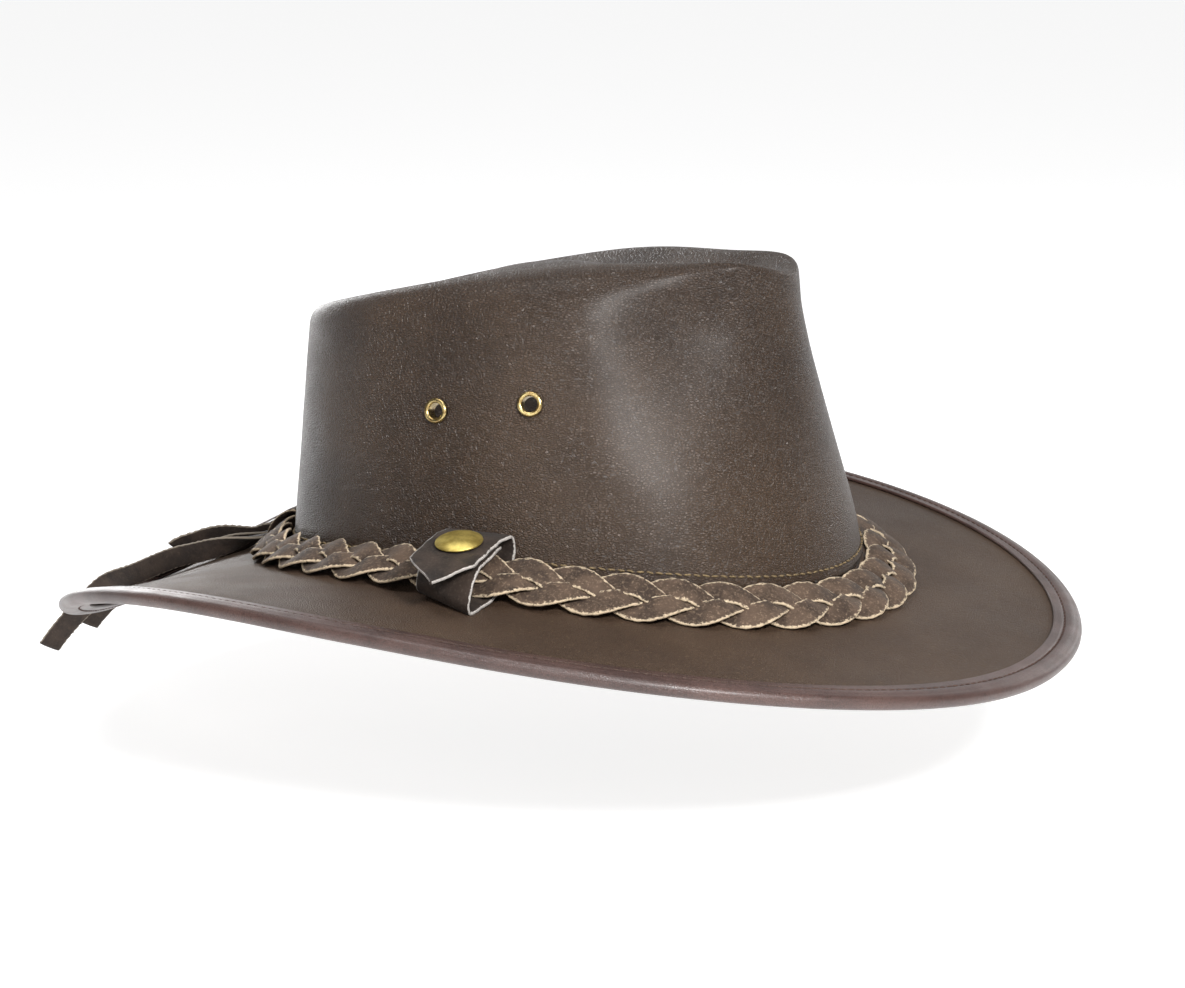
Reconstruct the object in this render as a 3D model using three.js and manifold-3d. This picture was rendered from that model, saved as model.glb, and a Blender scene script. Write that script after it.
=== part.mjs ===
import * as THREE from 'three';
import { mergeVertices } from 'three/addons/utils/BufferGeometryUtils.js';
import Module from 'manifold-3d';

const wasm = await Module();
wasm.setup();

// Millimetres. +X is the wearer's front, +Y the wearer's left, +Z up.
// The origin is the middle of the head opening, where the crown meets the brim.
// A bearing runs from 0 at the front to 180 degrees at the back, the same on both sides.

// Driving sizes
const headLength = 204; // over the leather, where crown and brim join
const headBreadth = 168;
const crownHeight = 102; // origin to the highest part of the ridge
const leather = 2; // crown and brim wall
const gap = 0.3; // clearance between pieces that touch
const brimFront = 74.3; // brim reach past the crown
const brimBack = 81.5;
const brimSide = 74.5;
const brimSquareness = 2.1; // 2 gives a plain ellipse in plan
const brimDip = 44; // how far the lowest point of the brim's edge lies under the origin
const seamDip = 8.3; // how far the crown's seam dips at the back
const neckDrop = 8; // fall of the brim where it curls away from the crown
const neckReach = 16;
const collarHeight = 9; // brim leather turned up inside the crown
const pinchDepth = 8; // side dents by the front of the crown
const valleyDepth = 6.5; // hollow between the ridge and the raised middle of the top
const crownLean = 0.065; // the ridge's left side sits lower than its right side, a slope
const brimLean = 0.02; // the brim's left side sits lower too
const bindingWidth = 10;
const bindingLeather = 1.2;
const bandWidth = 19; // the plait, across
const bandRepeats = 13; // times that one strand crosses over and back
const strandWidth = 6.1;
const strandLeather = 1.2;
const strandRise = 2.5; // height of the weave, over and under
const bandLift = 1.7; // the plait's middle stands this far off the corner that it bridges
const keeperWidth = 25;
const keeperLeather = 1.8;
const keeperPlace = 4; // along X
const keeperReach = 43; // flap, from the crown to its point
const keeperPoint = 15; // length of the flap's pointed end
const keeperHeight = 21; // flap's fold, over the origin
const capDiameter = 15.6;
const capRise = 2.4;
const footDiameter = 6.8; // the cap's foot, under the lower layer
const footThick = 0.8;
const postDiameter = 4;
const wrapWidth = 27;
const wrapLeather = 1.2;
const tailWidth = 8;
const tailLeather = 1.6;
const tailArch = 15; // how high the loose ends stand over the brim
const tailOverhang = 26; // how far the longest end drops below the brim's edge
const tailSpacing = 8.8; // between the loose ends where they leave the wrap
const eyeletDiameter = 8.4;
const eyeletHole = 5.1;
const eyeletWall = 0.5; // its barrel's metal
const eyeletRoll = 0.75; // height of its rolled rim
const eyeletSpacing = 32.4;
const eyeletMiddle = -1; // along X
const eyeletHeight = 56.6;
const eyeletClimb = 4.4; // the front one sits this much higher

// Heights round the hat, as shares of brimDip, seamDip and neckDrop, from the front to the back
const edgeLine = [
  { bearing: 0, fall: 0.664, seam: -0.446, neck: 1 },
  { bearing: 45, fall: 0.403, seam: 0.194, neck: 1 },
  { bearing: 90, fall: 0.047, seam: 0.72, neck: 0.72 },
  { bearing: 135, fall: 0.324, seam: -0.194, neck: 0.38 },
  { bearing: 180, fall: 1.006, seam: -1, neck: 0.4 },
];

// The ridge round the crease: shares of half the head's length, half its breadth and crownHeight.
// pinch is the share of pinchDepth, valley the share of valleyDepth.
const ridgeLine = [
  { bearing: 0, along: 0.775, breadth: 0.48, rise: 0.951, pinch: 0, valley: 0.8 },
  { bearing: 22.5, along: 0.72, breadth: 0.5, rise: 0.978, pinch: 0.45, valley: 1 },
  { bearing: 45, along: 0.56, breadth: 0.42, rise: 0.984, pinch: 0.8, valley: 1 },
  { bearing: 67.5, along: 0.3, breadth: 0.464, rise: 0.968, pinch: 0.3, valley: 0.95 },
  { bearing: 90, along: 0, breadth: 0.548, rise: 0.938, pinch: 0, valley: 0.8 },
  { bearing: 112.5, along: -0.3, breadth: 0.67, rise: 0.879, pinch: 0, valley: 0.6 },
  { bearing: 135, along: -0.58, breadth: 0.808, rise: 0.814, pinch: 0, valley: 0.35 },
  { bearing: 157.5, along: -0.785, breadth: 0.93, rise: 0.755, pinch: 0, valley: 0.1 },
  { bearing: 180, along: -0.85, breadth: 0.97, rise: 0.735, pinch: 0, valley: 0 },
];

// The crown's wall from the seam to the ridge: share of the climb, and of the way in at each bearing
const wallLine = [
  { climb: 0, front: 0, side: 0, back: 0, dent: 0 },
  { climb: 0.14, front: 0.14, side: 0.08, back: 0.1, dent: 0 },
  { climb: 0.3, front: 0.32, side: 0.18, back: 0.19, dent: 0.1 },
  { climb: 0.46, front: 0.48, side: 0.28, back: 0.28, dent: 0.45 },
  { climb: 0.62, front: 0.64, side: 0.38, back: 0.37, dent: 0.85 },
  { climb: 0.76, front: 0.79, side: 0.48, back: 0.43, dent: 1 },
  { climb: 0.87, front: 0.9, side: 0.58, back: 0.5, dent: 0.8 },
  { climb: 0.94, front: 0.94, side: 0.69, back: 0.56, dent: 0.45 },
  { climb: 0.985, front: 0.97, side: 0.83, back: 0.76, dent: 0.15 },
  { climb: 1, front: 1, side: 1, back: 1, dent: 0 },
];

// The top from the ridge to its raised middle: share of the way in, of the climb and of the valley
const topLine = [
  { inward: 0.07, climb: 0.02, valley: 0.16 },
  { inward: 0.18, climb: 0.08, valley: 0.55 },
  { inward: 0.34, climb: 0.25, valley: 0.95 },
  { inward: 0.54, climb: 0.56, valley: 0.8 },
  { inward: 0.76, climb: 0.86, valley: 0.3 },
];
const topMiddle = { along: -0.03, rise: 0.925 };

// How steeply the plait lies against the crown, and the way round that it is pushed out by a strap
const bandTilt = [
  { bearing: 0, tilt: 31 },
  { bearing: 45, tilt: 30 },
  { bearing: 90, tilt: 29 },
  { bearing: 135, tilt: 36 },
  { bearing: 180, tilt: 56 },
];

// Loose ends at the back: share of the brim's back reach, of tailWidth sideways, of tailArch upwards
// and of tailOverhang below the brim's edge
const tailRoutes = [
  [
    { out: 0.4, side: -1.1, arch: 0.2, hang: 0 },
    { out: 0.675, side: -0.9, arch: 0.42, hang: 0 },
    { out: 0.93, side: -0.6, arch: 0.4, hang: 0 },
    { out: 1.1, side: -0.4, arch: 0.17, hang: 0 },
    { out: 1.24, side: -0.3, arch: 0, hang: 0.3 },
    { out: 1.35, side: -0.2, arch: 0, hang: 0.68 },
    { out: 1.448, side: -0.1, arch: 0, hang: 1.06 },
  ],
  [
    { out: 0.4, side: 0.05, arch: 0.14, hang: 0 },
    { out: 0.675, side: 0.3, arch: 0.3, hang: 0 },
    { out: 0.9, side: 0.55, arch: 0.28, hang: 0 },
    { out: 1.04, side: 0.7, arch: 0.08, hang: 0 },
    { out: 1.17, side: 0.8, arch: 0, hang: 0.3 },
    { out: 1.29, side: 0.85, arch: 0, hang: 0.74 },
  ],
  [
    { out: 0.4, side: 1.3, arch: 0.35, hang: 0 },
    { out: 0.58, side: 1.5, arch: 0.65, hang: 0 },
    { out: 0.73, side: 1.6, arch: 0.72, hang: 0 },
    { out: 0.847, side: 1.7, arch: 0.55, hang: 0 },
  ],
];

// Grid sizes
const facets = 50; // round the crown, brim and binding
const strandSteps = 9; // facets in one repeat of a strand
const roundFacets = 12;

const halfLength = headLength / 2;
const halfBreadth = headBreadth / 2;

// A smooth even curve round the hat through a table whose rows stand at equal bearings
function roundHat(rows, key) {
  const last = rows.length - 1;
  const share = (row, wave) => Math.cos((wave * row * Math.PI) / last) * (row % last ? 1 : 0.5);
  const waves = rows.map((_, wave) => {
    const sum = rows.reduce((total, row, i) => total + row[key] * share(i, wave), 0);
    return (sum * (wave % last ? 2 : 1)) / last;
  });
  return (angle) => waves.reduce((total, size, wave) => total + size * Math.cos(wave * angle), 0);
}

// A smooth curve through a table's rows, read by one of its columns
function alongTable(rows, from, key) {
  const slope = (i) => {
    const a = rows[Math.max(i - 1, 0)];
    const b = rows[Math.min(i + 1, rows.length - 1)];
    return (b[key] - a[key]) / (b[from] - a[from]);
  };
  return (at) => {
    let i = 0;
    while (i < rows.length - 2 && at > rows[i + 1][from]) i += 1;
    const span = rows[i + 1][from] - rows[i][from];
    const s = (at - rows[i][from]) / span;
    const start = rows[i][key] * (1 + 2 * s) * (1 - s) ** 2 + slope(i) * span * s * (1 - s) ** 2;
    const end = rows[i + 1][key] * s * s * (3 - 2 * s) + slope(i + 1) * span * s * s * (s - 1);
    return start + end;
  };
}

const fall = roundHat(edgeLine, 'fall');
const seam = roundHat(edgeLine, 'seam');
const neck = roundHat(edgeLine, 'neck');
const ridgeAlong = roundHat(ridgeLine, 'along');
const ridgeBreadth = roundHat(ridgeLine, 'breadth');
const ridgeRise = roundHat(ridgeLine, 'rise');
const pinchShare = roundHat(ridgeLine, 'pinch');
const valleyShare = roundHat(ridgeLine, 'valley');
const tiltAt = roundHat(bandTilt, 'tilt');

const seamHeight = (angle) => seamDip * seam(angle);
const lerp = THREE.MathUtils.lerp;
const turn = (i, count) => (2 * Math.PI * i) / count;

function seamPoint(angle) {
  return new THREE.Vector3(
    halfLength * Math.cos(angle), halfBreadth * Math.sin(angle), seamHeight(angle));
}

function ridgePoint(angle) {
  const side = halfBreadth * ridgeBreadth(angle) * Math.sin(angle);
  const rise = crownHeight * ridgeRise(angle) - crownLean * side;
  return new THREE.Vector3(halfLength * ridgeAlong(angle), side, rise);
}

// Point on the crown's outer face: climb 0 to 1 goes up the wall, 1 to 2 in over the top
const wallIn = {
  front: alongTable(wallLine, 'climb', 'front'),
  side: alongTable(wallLine, 'climb', 'side'),
  back: alongTable(wallLine, 'climb', 'back'),
  dent: alongTable(wallLine, 'climb', 'dent'),
};

function wallPoint(angle, climb) {
  const base = seamPoint(angle);
  const ridge = ridgePoint(angle);
  const ahead = Math.max(Math.cos(angle), 0) ** 2;
  const behind = Math.max(-Math.cos(angle), 0) ** 2;
  const way = wallIn.front(climb) * ahead + wallIn.back(climb) * behind
    + wallIn.side(climb) * (1 - ahead - behind);
  const point = base.clone().lerp(ridge, way);
  point.z = lerp(base.z, ridge.z, climb);
  const dent = pinchDepth * pinchShare(angle) * wallIn.dent(climb);
  const inward = new THREE.Vector3(-Math.cos(angle), -Math.sin(angle) * 1.2, 0).normalize();
  return point.addScaledVector(inward, dent);
}

function topPoint(angle, row) {
  const ridge = ridgePoint(angle);
  const middle = new THREE.Vector3(halfLength * topMiddle.along, 0, crownHeight * topMiddle.rise);
  const point = ridge.clone().lerp(middle, row.inward);
  point.z = lerp(ridge.z, middle.z, row.climb) - valleyDepth * valleyShare(angle) * row.valley;
  return point;
}

// A closed skin over rings of points. The rings join end to end, or each end is closed by a fan.
function skin(rings, joined) {
  const sides = rings[0].length;
  const points = rings.flat();
  const faces = [];
  const spans = joined ? rings.length : rings.length - 1;
  for (let i = 0; i < spans; i += 1) {
    for (let j = 0; j < sides; j += 1) {
      const a = i * sides + j;
      const b = i * sides + ((j + 1) % sides);
      const c = ((i + 1) % rings.length) * sides + j;
      const d = ((i + 1) % rings.length) * sides + ((j + 1) % sides);
      faces.push([a, b, d], [a, d, c]);
    }
  }
  if (!joined) {
    [0, rings.length - 1].forEach((end) => {
      const middle = new THREE.Vector3();
      rings[end].forEach((point) => middle.addScaledVector(point, 1 / sides));
      points.push(middle);
      for (let j = 0; j < sides; j += 1) {
        const edge = [end * sides + j, end * sides + ((j + 1) % sides)];
        faces.push(end ? [...edge, points.length - 1] : [edge[1], edge[0], points.length - 1]);
      }
    });
  }
  return outward(points, faces);
}

// Turns the faces so that the solid's volume is positive
function outward(points, faces) {
  const volume = faces.reduce((sum, [a, b, c]) =>
    sum + points[a].dot(points[b].clone().cross(points[c])), 0);
  const geometry = new THREE.BufferGeometry();
  geometry.setAttribute('position', new THREE.Float32BufferAttribute(
    points.flatMap((point) => point.toArray()), 3));
  geometry.setIndex(faces.flatMap(([a, b, c]) => (volume < 0 ? [a, c, b] : [a, b, c])));
  return geometry;
}

function toSolid(geometry) {
  const bare = geometry.clone();
  bare.deleteAttribute('normal');
  bare.deleteAttribute('uv');
  const merged = mergeVertices(bare, 1e-4);
  return new wasm.Manifold(new wasm.Mesh({
    numProp: 3,
    vertProperties: new Float32Array(merged.attributes.position.array),
    triVerts: new Uint32Array(merged.index.array),
  }));
}

function fromSolid(solid) {
  const mesh = solid.getMesh();
  const geometry = new THREE.BufferGeometry();
  geometry.setAttribute('position', new THREE.Float32BufferAttribute(mesh.vertProperties, 3));
  geometry.setIndex(Array.from(mesh.triVerts));
  return geometry;
}

function cutAway(geometry, cutters) {
  return fromSolid(cutters.reduce((solid, cutter) => solid.subtract(toSolid(cutter)), toSolid(geometry)));
}

// Crown: the outer face, then the same face moved in by the leather, joined at the lower edge
function crownRings() {
  const angles = Array.from({ length: facets }, (_, j) => turn(j, facets));
  const middle = new THREE.Vector3(halfLength * topMiddle.along, 0, crownHeight * topMiddle.rise);
  const rows = [
    ...wallLine.map((row) => angles.map((angle) => wallPoint(angle, row.climb))),
    ...topLine.map((row) => angles.map((angle) => topPoint(angle, row))),
  ];
  const faceNormal = (i, j) => {
    const before = rows[Math.max(i - 1, 0)][j];
    const after = i < rows.length - 1 ? rows[i + 1][j] : middle;
    const left = rows[i][(j + facets - 1) % facets];
    const right = rows[i][(j + 1) % facets];
    return after.clone().sub(before).cross(right.clone().sub(left)).normalize();
  };
  const inner = rows.map((row, i) => row.map((point, j) => {
    const inward = faceNormal(i, j);
    return i ? point.clone().addScaledVector(inward, leather)
      : point.clone().addScaledVector(inward.setZ(0).normalize(), leather);
  }));
  return { rows, inner, middle };
}

function crownSolid() {
  const { rows, inner, middle } = crownRings();
  const rings = [...[...rows].reverse(), ...inner];
  const points = [...rings.flat(), middle, middle.clone().setZ(middle.z - leather)];
  const faces = [];
  const tipAt = points.length - 2;
  const lastRing = (rings.length - 1) * facets;
  for (let j = 0; j < facets; j += 1) {
    const next = (j + 1) % facets;
    faces.push([next, j, tipAt], [lastRing + j, lastRing + next, tipAt + 1]);
    for (let i = 0; i < rings.length - 1; i += 1) {
      const a = i * facets + j;
      const b = i * facets + next;
      faces.push([a, b, b + facets], [a, b + facets, a + facets]);
    }
  }
  return outward(points, faces);
}

// Brim. The edge line is the middle of its bound edge, so the top face there lies a little higher.
const brimThick = leather + 2 * (bindingLeather + gap);

function edgePoint(angle) {
  const c = Math.cos(angle);
  const s = Math.sin(angle);
  const power = 2 / brimSquareness;
  const half = (headLength + brimFront + brimBack) / 2;
  const shift = (brimFront - brimBack) / 2;
  return new THREE.Vector3(
    shift + half * Math.sign(c) * Math.abs(c) ** power,
    (halfBreadth + brimSide) * Math.sign(s) * Math.abs(s) ** power,
    -brimDip * fall(angle) + brimThick / 4 - brimLean * (halfBreadth + brimSide) * s);
}

// The upright plane through the seam and the brim's edge at one bearing: out and up in that plane
function planeAt(angle) {
  const base = seamPoint(angle);
  const edge = edgePoint(angle);
  const away = new THREE.Vector3(edge.x - base.x, edge.y - base.y, 0);
  const reach = away.length();
  away.normalize();
  const place = (out, up) => base.clone().addScaledVector(away, out).setZ(up);
  return { base, edge, away, reach, place };
}

// Height of the brim's top face at a distance out from the crown
function brimTop(angle, out) {
  const { base, edge, reach } = planeAt(angle);
  const near = Math.min(out / neckReach, 1);
  const drop = neckDrop * neck(angle);
  const spread = Math.max(out / reach, 0) ** 1.2;
  return base.z - gap - drop * (1 - (1 - near) ** 2) + (edge.z - base.z + drop + gap) * spread;
}

// Moves a flat curve of [out, up] pairs sideways, to its right, by a distance
function beside(curve, distance) {
  return curve.map(([out, up], i) => {
    const a = curve[Math.max(i - 1, 0)];
    const b = curve[Math.min(i + 1, curve.length - 1)];
    const length = Math.hypot(b[0] - a[0], b[1] - a[1]);
    return [out + ((b[1] - a[1]) / length) * distance, up - ((b[0] - a[0]) / length) * distance];
  });
}

// Where the crown's outer face stands in that plane, at a height over the seam
function wallOut(angle, rise) {
  const { base, away } = planeAt(angle);
  const climb = rise / (ridgePoint(angle).z - base.z);
  return wallPoint(angle, climb).sub(base).dot(away);
}

const brimRows = [0.04, 0.11, 0.2, 0.38, 0.6, 0.8];

// The brim's top line: up inside the crown as a collar, round under its lower edge, then out
function brimLine(angle, until) {
  const { base, reach } = planeAt(angle);
  const collar = (rise) => [wallOut(angle, rise) - leather - 1.5 * gap, base.z + rise];
  return [
    collar(collarHeight),
    collar(collarHeight / 2),
    collar(0),
    [-leather / 2, brimTop(angle, 0) - gap],
    ...brimRows.map((share) => [share * reach, brimTop(angle, share * reach)]),
    [until, brimTop(angle, until)],
  ];
}

function brimRing(angle) {
  const { place, reach } = planeAt(angle);
  const top = brimLine(angle, reach - bindingLeather - gap);
  const under = beside(top, leather).reverse();
  return [...top, ...under].map(([out, up]) => place(out, up));
}

function brimSolid() {
  return skin(Array.from({ length: facets }, (_, i) => brimRing(turn(i, facets))), true);
}

// Binding: one strip of thin leather folded round the brim's edge
function bindingRing(angle) {
  const { place, reach } = planeAt(angle);
  const inset = reach - bindingLeather - gap;
  const top = [reach - bindingWidth, reach - bindingWidth / 2, inset]
    .map((out) => [out, brimTop(angle, out)]);
  const middle = brimTop(angle, inset) - leather / 2;
  return [
    ...beside(top, -gap - bindingLeather),
    [reach, middle],
    ...beside(top, leather + gap + bindingLeather).reverse(),
    ...beside(top, leather + gap),
    [reach - bindingLeather, middle],
    ...beside(top, -gap).reverse(),
  ].map(([out, up]) => place(out, up));
}

function bindingSolid() {
  return skin(Array.from({ length: facets }, (_, i) => bindingRing(turn(i, facets))), true);
}

// Band: three flat strands that cross over and under each other
const strapSpread = 0.3; // radians of the band that a strap pushes out
const keeperBearing = -Math.acos(keeperPlace / halfLength);
const bump = (angle, centre) => {
  const apart = Math.atan2(Math.sin(angle - centre), Math.cos(angle - centre));
  return Math.exp(-((apart / strapSpread) ** 4));
};

// Middle of the band at one bearing, with the directions across it and out of it
function bandFrame(angle) {
  const { place, away } = planeAt(angle);
  const tilt = THREE.MathUtils.degToRad(tiltAt(angle));
  const across = away.clone().multiplyScalar(Math.cos(tilt)).setZ(-Math.sin(tilt));
  const outwards = away.clone().multiplyScalar(Math.sin(tilt)).setZ(Math.cos(tilt));
  const strap = keeperLeather + 3 * gap;
  const push = strap * bump(angle, keeperBearing) + (wrapLeather + 5 * gap) * bump(angle, Math.PI);
  const lowerOut = gap * 2 + bandWidth * Math.cos(tilt);
  const lower = place(lowerOut, brimTop(angle, lowerOut));
  const middle = lower.addScaledVector(across, -bandWidth / 2)
    .addScaledVector(outwards, strandLeather / 2 + gap + bandLift + push);
  return { middle, across, outwards };
}

const strandSwing = (bandWidth - strandWidth) / 2;

function strandPoint(share, strand) {
  const phase = 2 * Math.PI * (share * bandRepeats + strand / 3);
  const { middle, across, outwards } = bandFrame(bandAngle(share));
  return middle.clone()
    .addScaledVector(across, strandSwing * Math.cos(phase))
    .addScaledVector(outwards, strandRise * Math.sin(2 * phase));
}

// Bearing at an even share of the band's length
const bandMarkCount = 360;
const bandMarks = Array.from({ length: bandMarkCount + 1 }, (_, i) => turn(i, bandMarkCount));
const bandLengths = [0];
bandMarks.slice(1).forEach((angle, i) => {
  const step = bandFrame(angle).middle.distanceTo(bandFrame(bandMarks[i]).middle);
  bandLengths.push(bandLengths[i] + step);
});

function bandAngle(share) {
  const length = (share - Math.floor(share)) * bandLengths[bandMarkCount];
  const i = Math.max(bandLengths.findIndex((mark) => mark > length), 1);
  const part = (length - bandLengths[i - 1]) / (bandLengths[i] - bandLengths[i - 1]);
  return turn(i - 1 + part, bandMarkCount);
}

// A flat strip's section: its four corners about a point
function stripRing(point, across, outwards, width, thickness) {
  return [[-1, 1], [1, 1], [1, -1], [-1, -1]].map(([a, b]) => point.clone()
    .addScaledVector(across, (a * width) / 2)
    .addScaledVector(outwards, (b * thickness) / 2));
}

function strandSolid(strand) {
  const steps = bandRepeats * strandSteps;
  const nearby = 0.1 / steps;
  const rings = Array.from({ length: steps }, (_, i) => {
    const share = i / steps;
    const ahead = strandPoint(share + nearby, strand);
    const tangent = ahead.sub(strandPoint(share - nearby, strand)).normalize();
    const { outwards } = bandFrame(bandAngle(share));
    const across = tangent.clone().cross(outwards).normalize();
    const face = across.clone().cross(tangent);
    return stripRing(strandPoint(share, strand), across, face, strandWidth, strandLeather);
  });
  return skin(rings, true);
}

// A strap whose route lies in an upright plane: [along, up] pairs, its width at each, and the plane
function strapRings(route, widths, thickness, place, sideways) {
  const left = beside(route, -thickness / 2);
  const right = beside(route, thickness / 2);
  return route.map((_, i) => [
    place(...left[i]).addScaledVector(sideways, -widths[i] / 2),
    place(...left[i]).addScaledVector(sideways, widths[i] / 2),
    place(...right[i]).addScaledVector(sideways, widths[i] / 2),
    place(...right[i]).addScaledVector(sideways, -widths[i] / 2),
  ]);
}

// Wrap: a closed loop of leather round the band at the back
const wrapHalf = { across: bandWidth / 2 + 7 * gap, deep: strandRise + strandLeather + 8 * gap };

function wrapPoint(angle, extra, sideways) {
  const { middle, across, outwards } = bandFrame(Math.PI);
  return middle.addScaledVector(across, (wrapHalf.across + extra) * Math.cos(angle))
    .addScaledVector(outwards, (wrapHalf.deep + extra) * Math.sin(angle))
    .setY(sideways);
}

function wrapSolid() {
  const half = wrapWidth / 2;
  const rings = Array.from({ length: roundFacets }, (_, i) => turn(i, roundFacets)).map((angle) => [
    wrapPoint(angle, 0, -half), wrapPoint(angle, wrapLeather, -half),
    wrapPoint(angle, wrapLeather, half), wrapPoint(angle, 0, half)]);
  return skin(rings, true);
}

// Loose ends: each starts on the wrap's outer face and follows its row of tailRoutes
const tailStart = 0.5; // radians round the wrap from its lower edge

function tailSolid(route, strand) {
  const start = wrapPoint(tailStart, wrapLeather + 3 * gap, (strand - 1) * tailSpacing);
  const points = route.map(({ out, side, arch, hang }) => {
    const over = Math.min(out, 1) * brimBack;
    const height = brimTop(Math.PI, over) + bindingLeather + tailLeather + arch * tailArch;
    return new THREE.Vector3(
      -halfLength - out * brimBack, side * tailWidth, height - hang * tailOverhang);
  });
  const curve = new THREE.CatmullRomCurve3([start, ...points], false, 'centripetal');
  const steps = route.length * 2;
  const rings = Array.from({ length: steps + 1 }, (_, i) => {
    const tangent = curve.getTangentAt(i / steps);
    const across = new THREE.Vector3(0, 1, 0).addScaledVector(tangent, -tangent.y).normalize();
    return stripRing(curve.getPointAt(i / steps), across, tangent.clone().cross(across), tailWidth,
      tailLeather);
  });
  return skin(rings, false);
}

// Keeper strap: the flap over the plait, down behind it, out under it and back up below the flap
const keeperPlane = (() => {
  const { base } = planeAt(keeperBearing);
  return {
    place: (out, up) => new THREE.Vector3(keeperPlace, base.y - out, up),
    sideways: new THREE.Vector3(1, 0, 0),
    seamUp: base.z,
  };
})();
// Shares of keeperReach along the flap, the brim and the tucked end, and of keeperHeight down the wall
const flapShares = [1, 0.82, 0.65, 0.48, 0.3, 0.12];
const wallShares = [0.8, 0.62, 0.48];
const brimShares = [0.07, 0.13, 0.21, 0.32, 0.44, 0.55, 0.62];
const tuckedShares = [0.5, 0.42, 0.3, 0.2];
// The folds at the crown and in front, in thicknesses of the strap out and up from where each starts
const crownFold = [[1, 0], [0.25, -0.7]];
const frontFold = [[0.6, 0.7], [0.8, 2], [-0.2, 4]];
const flapSlope = 0.2;
const capShare = 0.37; // of keeperReach

const flapUp = (out) => keeperHeight - flapSlope * out;
const layer = keeperLeather + gap;
const keeperRoute = (() => {
  const clear = keeperLeather / 2 + 2 * gap;
  const onWall = (up) => [wallOut(keeperBearing, up - keeperPlane.seamUp) + clear, up];
  const onBrim = (out) => [out, brimTop(keeperBearing, out) + clear];
  const folded = (shape, [out, up]) => shape.map(([a, b]) =>
    [out + a * keeperLeather, up + b * keeperLeather]);
  const under = brimShares.map((share) => onBrim(share * keeperReach));
  return [
    ...flapShares.map((share) => [share * keeperReach, flapUp(share * keeperReach)]),
    ...folded(crownFold, [onWall(keeperHeight - 2 * keeperLeather)[0], keeperHeight]),
    ...wallShares.map((share) => onWall(share * keeperHeight)),
    ...under,
    ...folded(frontFold, under[under.length - 1]),
    ...tuckedShares.map((share) => [share * keeperReach, flapUp(share * keeperReach) - layer]),
  ];
})();

const capOut = keeperReach * capShare;
const capAxis = new THREE.Vector3(0, -flapSlope, 1).normalize();

const keeperTip = 0.04; // share of the width left at the flap's point

function keeperSolid() {
  const widths = keeperRoute.map(([out], i) => {
    const past = i < flapShares.length ? Math.max(out - keeperReach + keeperPoint, 0) / keeperPoint : 0;
    return keeperWidth * (1 - (1 - keeperTip) * past);
  });
  const strap = skin(strapRings(keeperRoute, widths, keeperLeather, keeperPlane.place,
    keeperPlane.sideways), false);
  const hole = new THREE.CylinderGeometry(postDiameter / 2 + gap, postDiameter / 2 + gap,
    layer * 4, roundFacets);
  return cutAway(strap, [standing(hole, keeperPlane.place(capOut, flapUp(capOut)), capAxis)]);
}

// Turns a shape made along Y to stand along an axis at a point
function standing(geometry, point, axis) {
  const turned = new THREE.Quaternion().setFromUnitVectors(new THREE.Vector3(0, 1, 0), axis);
  return geometry.applyMatrix4(new THREE.Matrix4().compose(point, turned, new THREE.Vector3(1, 1, 1)));
}

const lathe = (profile) => new THREE.LatheGeometry(
  profile.map(([radius, height]) => new THREE.Vector2(radius, height)), roundFacets);

// Cap: a domed disc, its post and the flat foot under the lower layer. The dome is in shares of half
// capDiameter and of capRise.
const capDome = [[1, 0.3], [0.86, 0.68], [0.6, 0.9], [0.3, 0.98], [0, 1]];

function capSolid() {
  const half = capDiameter / 2;
  const top = keeperLeather / 2 + gap;
  const foot = -layer - top;
  const post = postDiameter / 2;
  return lathe([
    [0, foot - footThick], [footDiameter / 2, foot - footThick], [footDiameter / 2, foot],
    [post, foot], [post, top], [half, top],
    ...capDome.map(([out, rise]) => [half * out, top + capRise * rise])]);
}

// Eyelet: a barrel through the leather with a rolled rim outside and a flat one inside
const eyeletBarrel = eyeletHole / 2 + eyeletWall;
const rollLow = 0.4; // shares of eyeletRoll at the rim's outer and inner corners
const rollOut = 0.88; // share of the rim's radius where it is highest
const flangeOut = 0.95; // share of the rim's radius that the inside flange reaches

function eyeletSolid() {
  const bore = eyeletHole / 2;
  const rim = eyeletDiameter / 2;
  const seat = 1.7 * gap; // the wall bends under the flat rims
  const inside = -leather - seat;
  return lathe([
    [bore, inside - eyeletWall], [rim * flangeOut, inside - eyeletWall], [rim * flangeOut, inside],
    [eyeletBarrel, inside], [eyeletBarrel, seat], [rim, seat], [rim, seat + eyeletRoll * rollLow],
    [rim * rollOut, seat + eyeletRoll], [(rim + bore) / 2, seat + eyeletRoll],
    [bore, seat + eyeletRoll * rollLow], [bore, inside - eyeletWall]]);
}

// Point and outward direction on the crown's wall at a distance along X and a height
const settleRounds = 40;
const spotStep = 0.02; // of a bearing and of the climb, to read the wall's slope

function wallSpot(side, along, up) {
  let angle = side * Math.acos(along / halfLength);
  let climb = up / crownHeight;
  for (let i = 0; i < settleRounds; i += 1) {
    const point = wallPoint(angle, climb);
    climb += (up - point.z) / crownHeight;
    angle += (side * (point.x - along)) / halfLength;
  }
  const round = wallPoint(angle + spotStep, climb).sub(wallPoint(angle - spotStep, climb));
  const rise = wallPoint(angle, climb + spotStep)
    .sub(wallPoint(angle, climb - spotStep));
  return { point: wallPoint(angle, climb), axis: round.cross(rise).normalize() };
}

const eyelets = [['right', -1], ['left', 1]].flatMap(([sideName, side]) =>
  [['back', -0.5], ['front', 0.5]].map(([endName, end]) => ({
    name: `eyelet_${sideName}_${endName}`,
    ...wallSpot(side, eyeletMiddle + end * eyeletSpacing, eyeletHeight + end * eyeletClimb),
  })));

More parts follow.
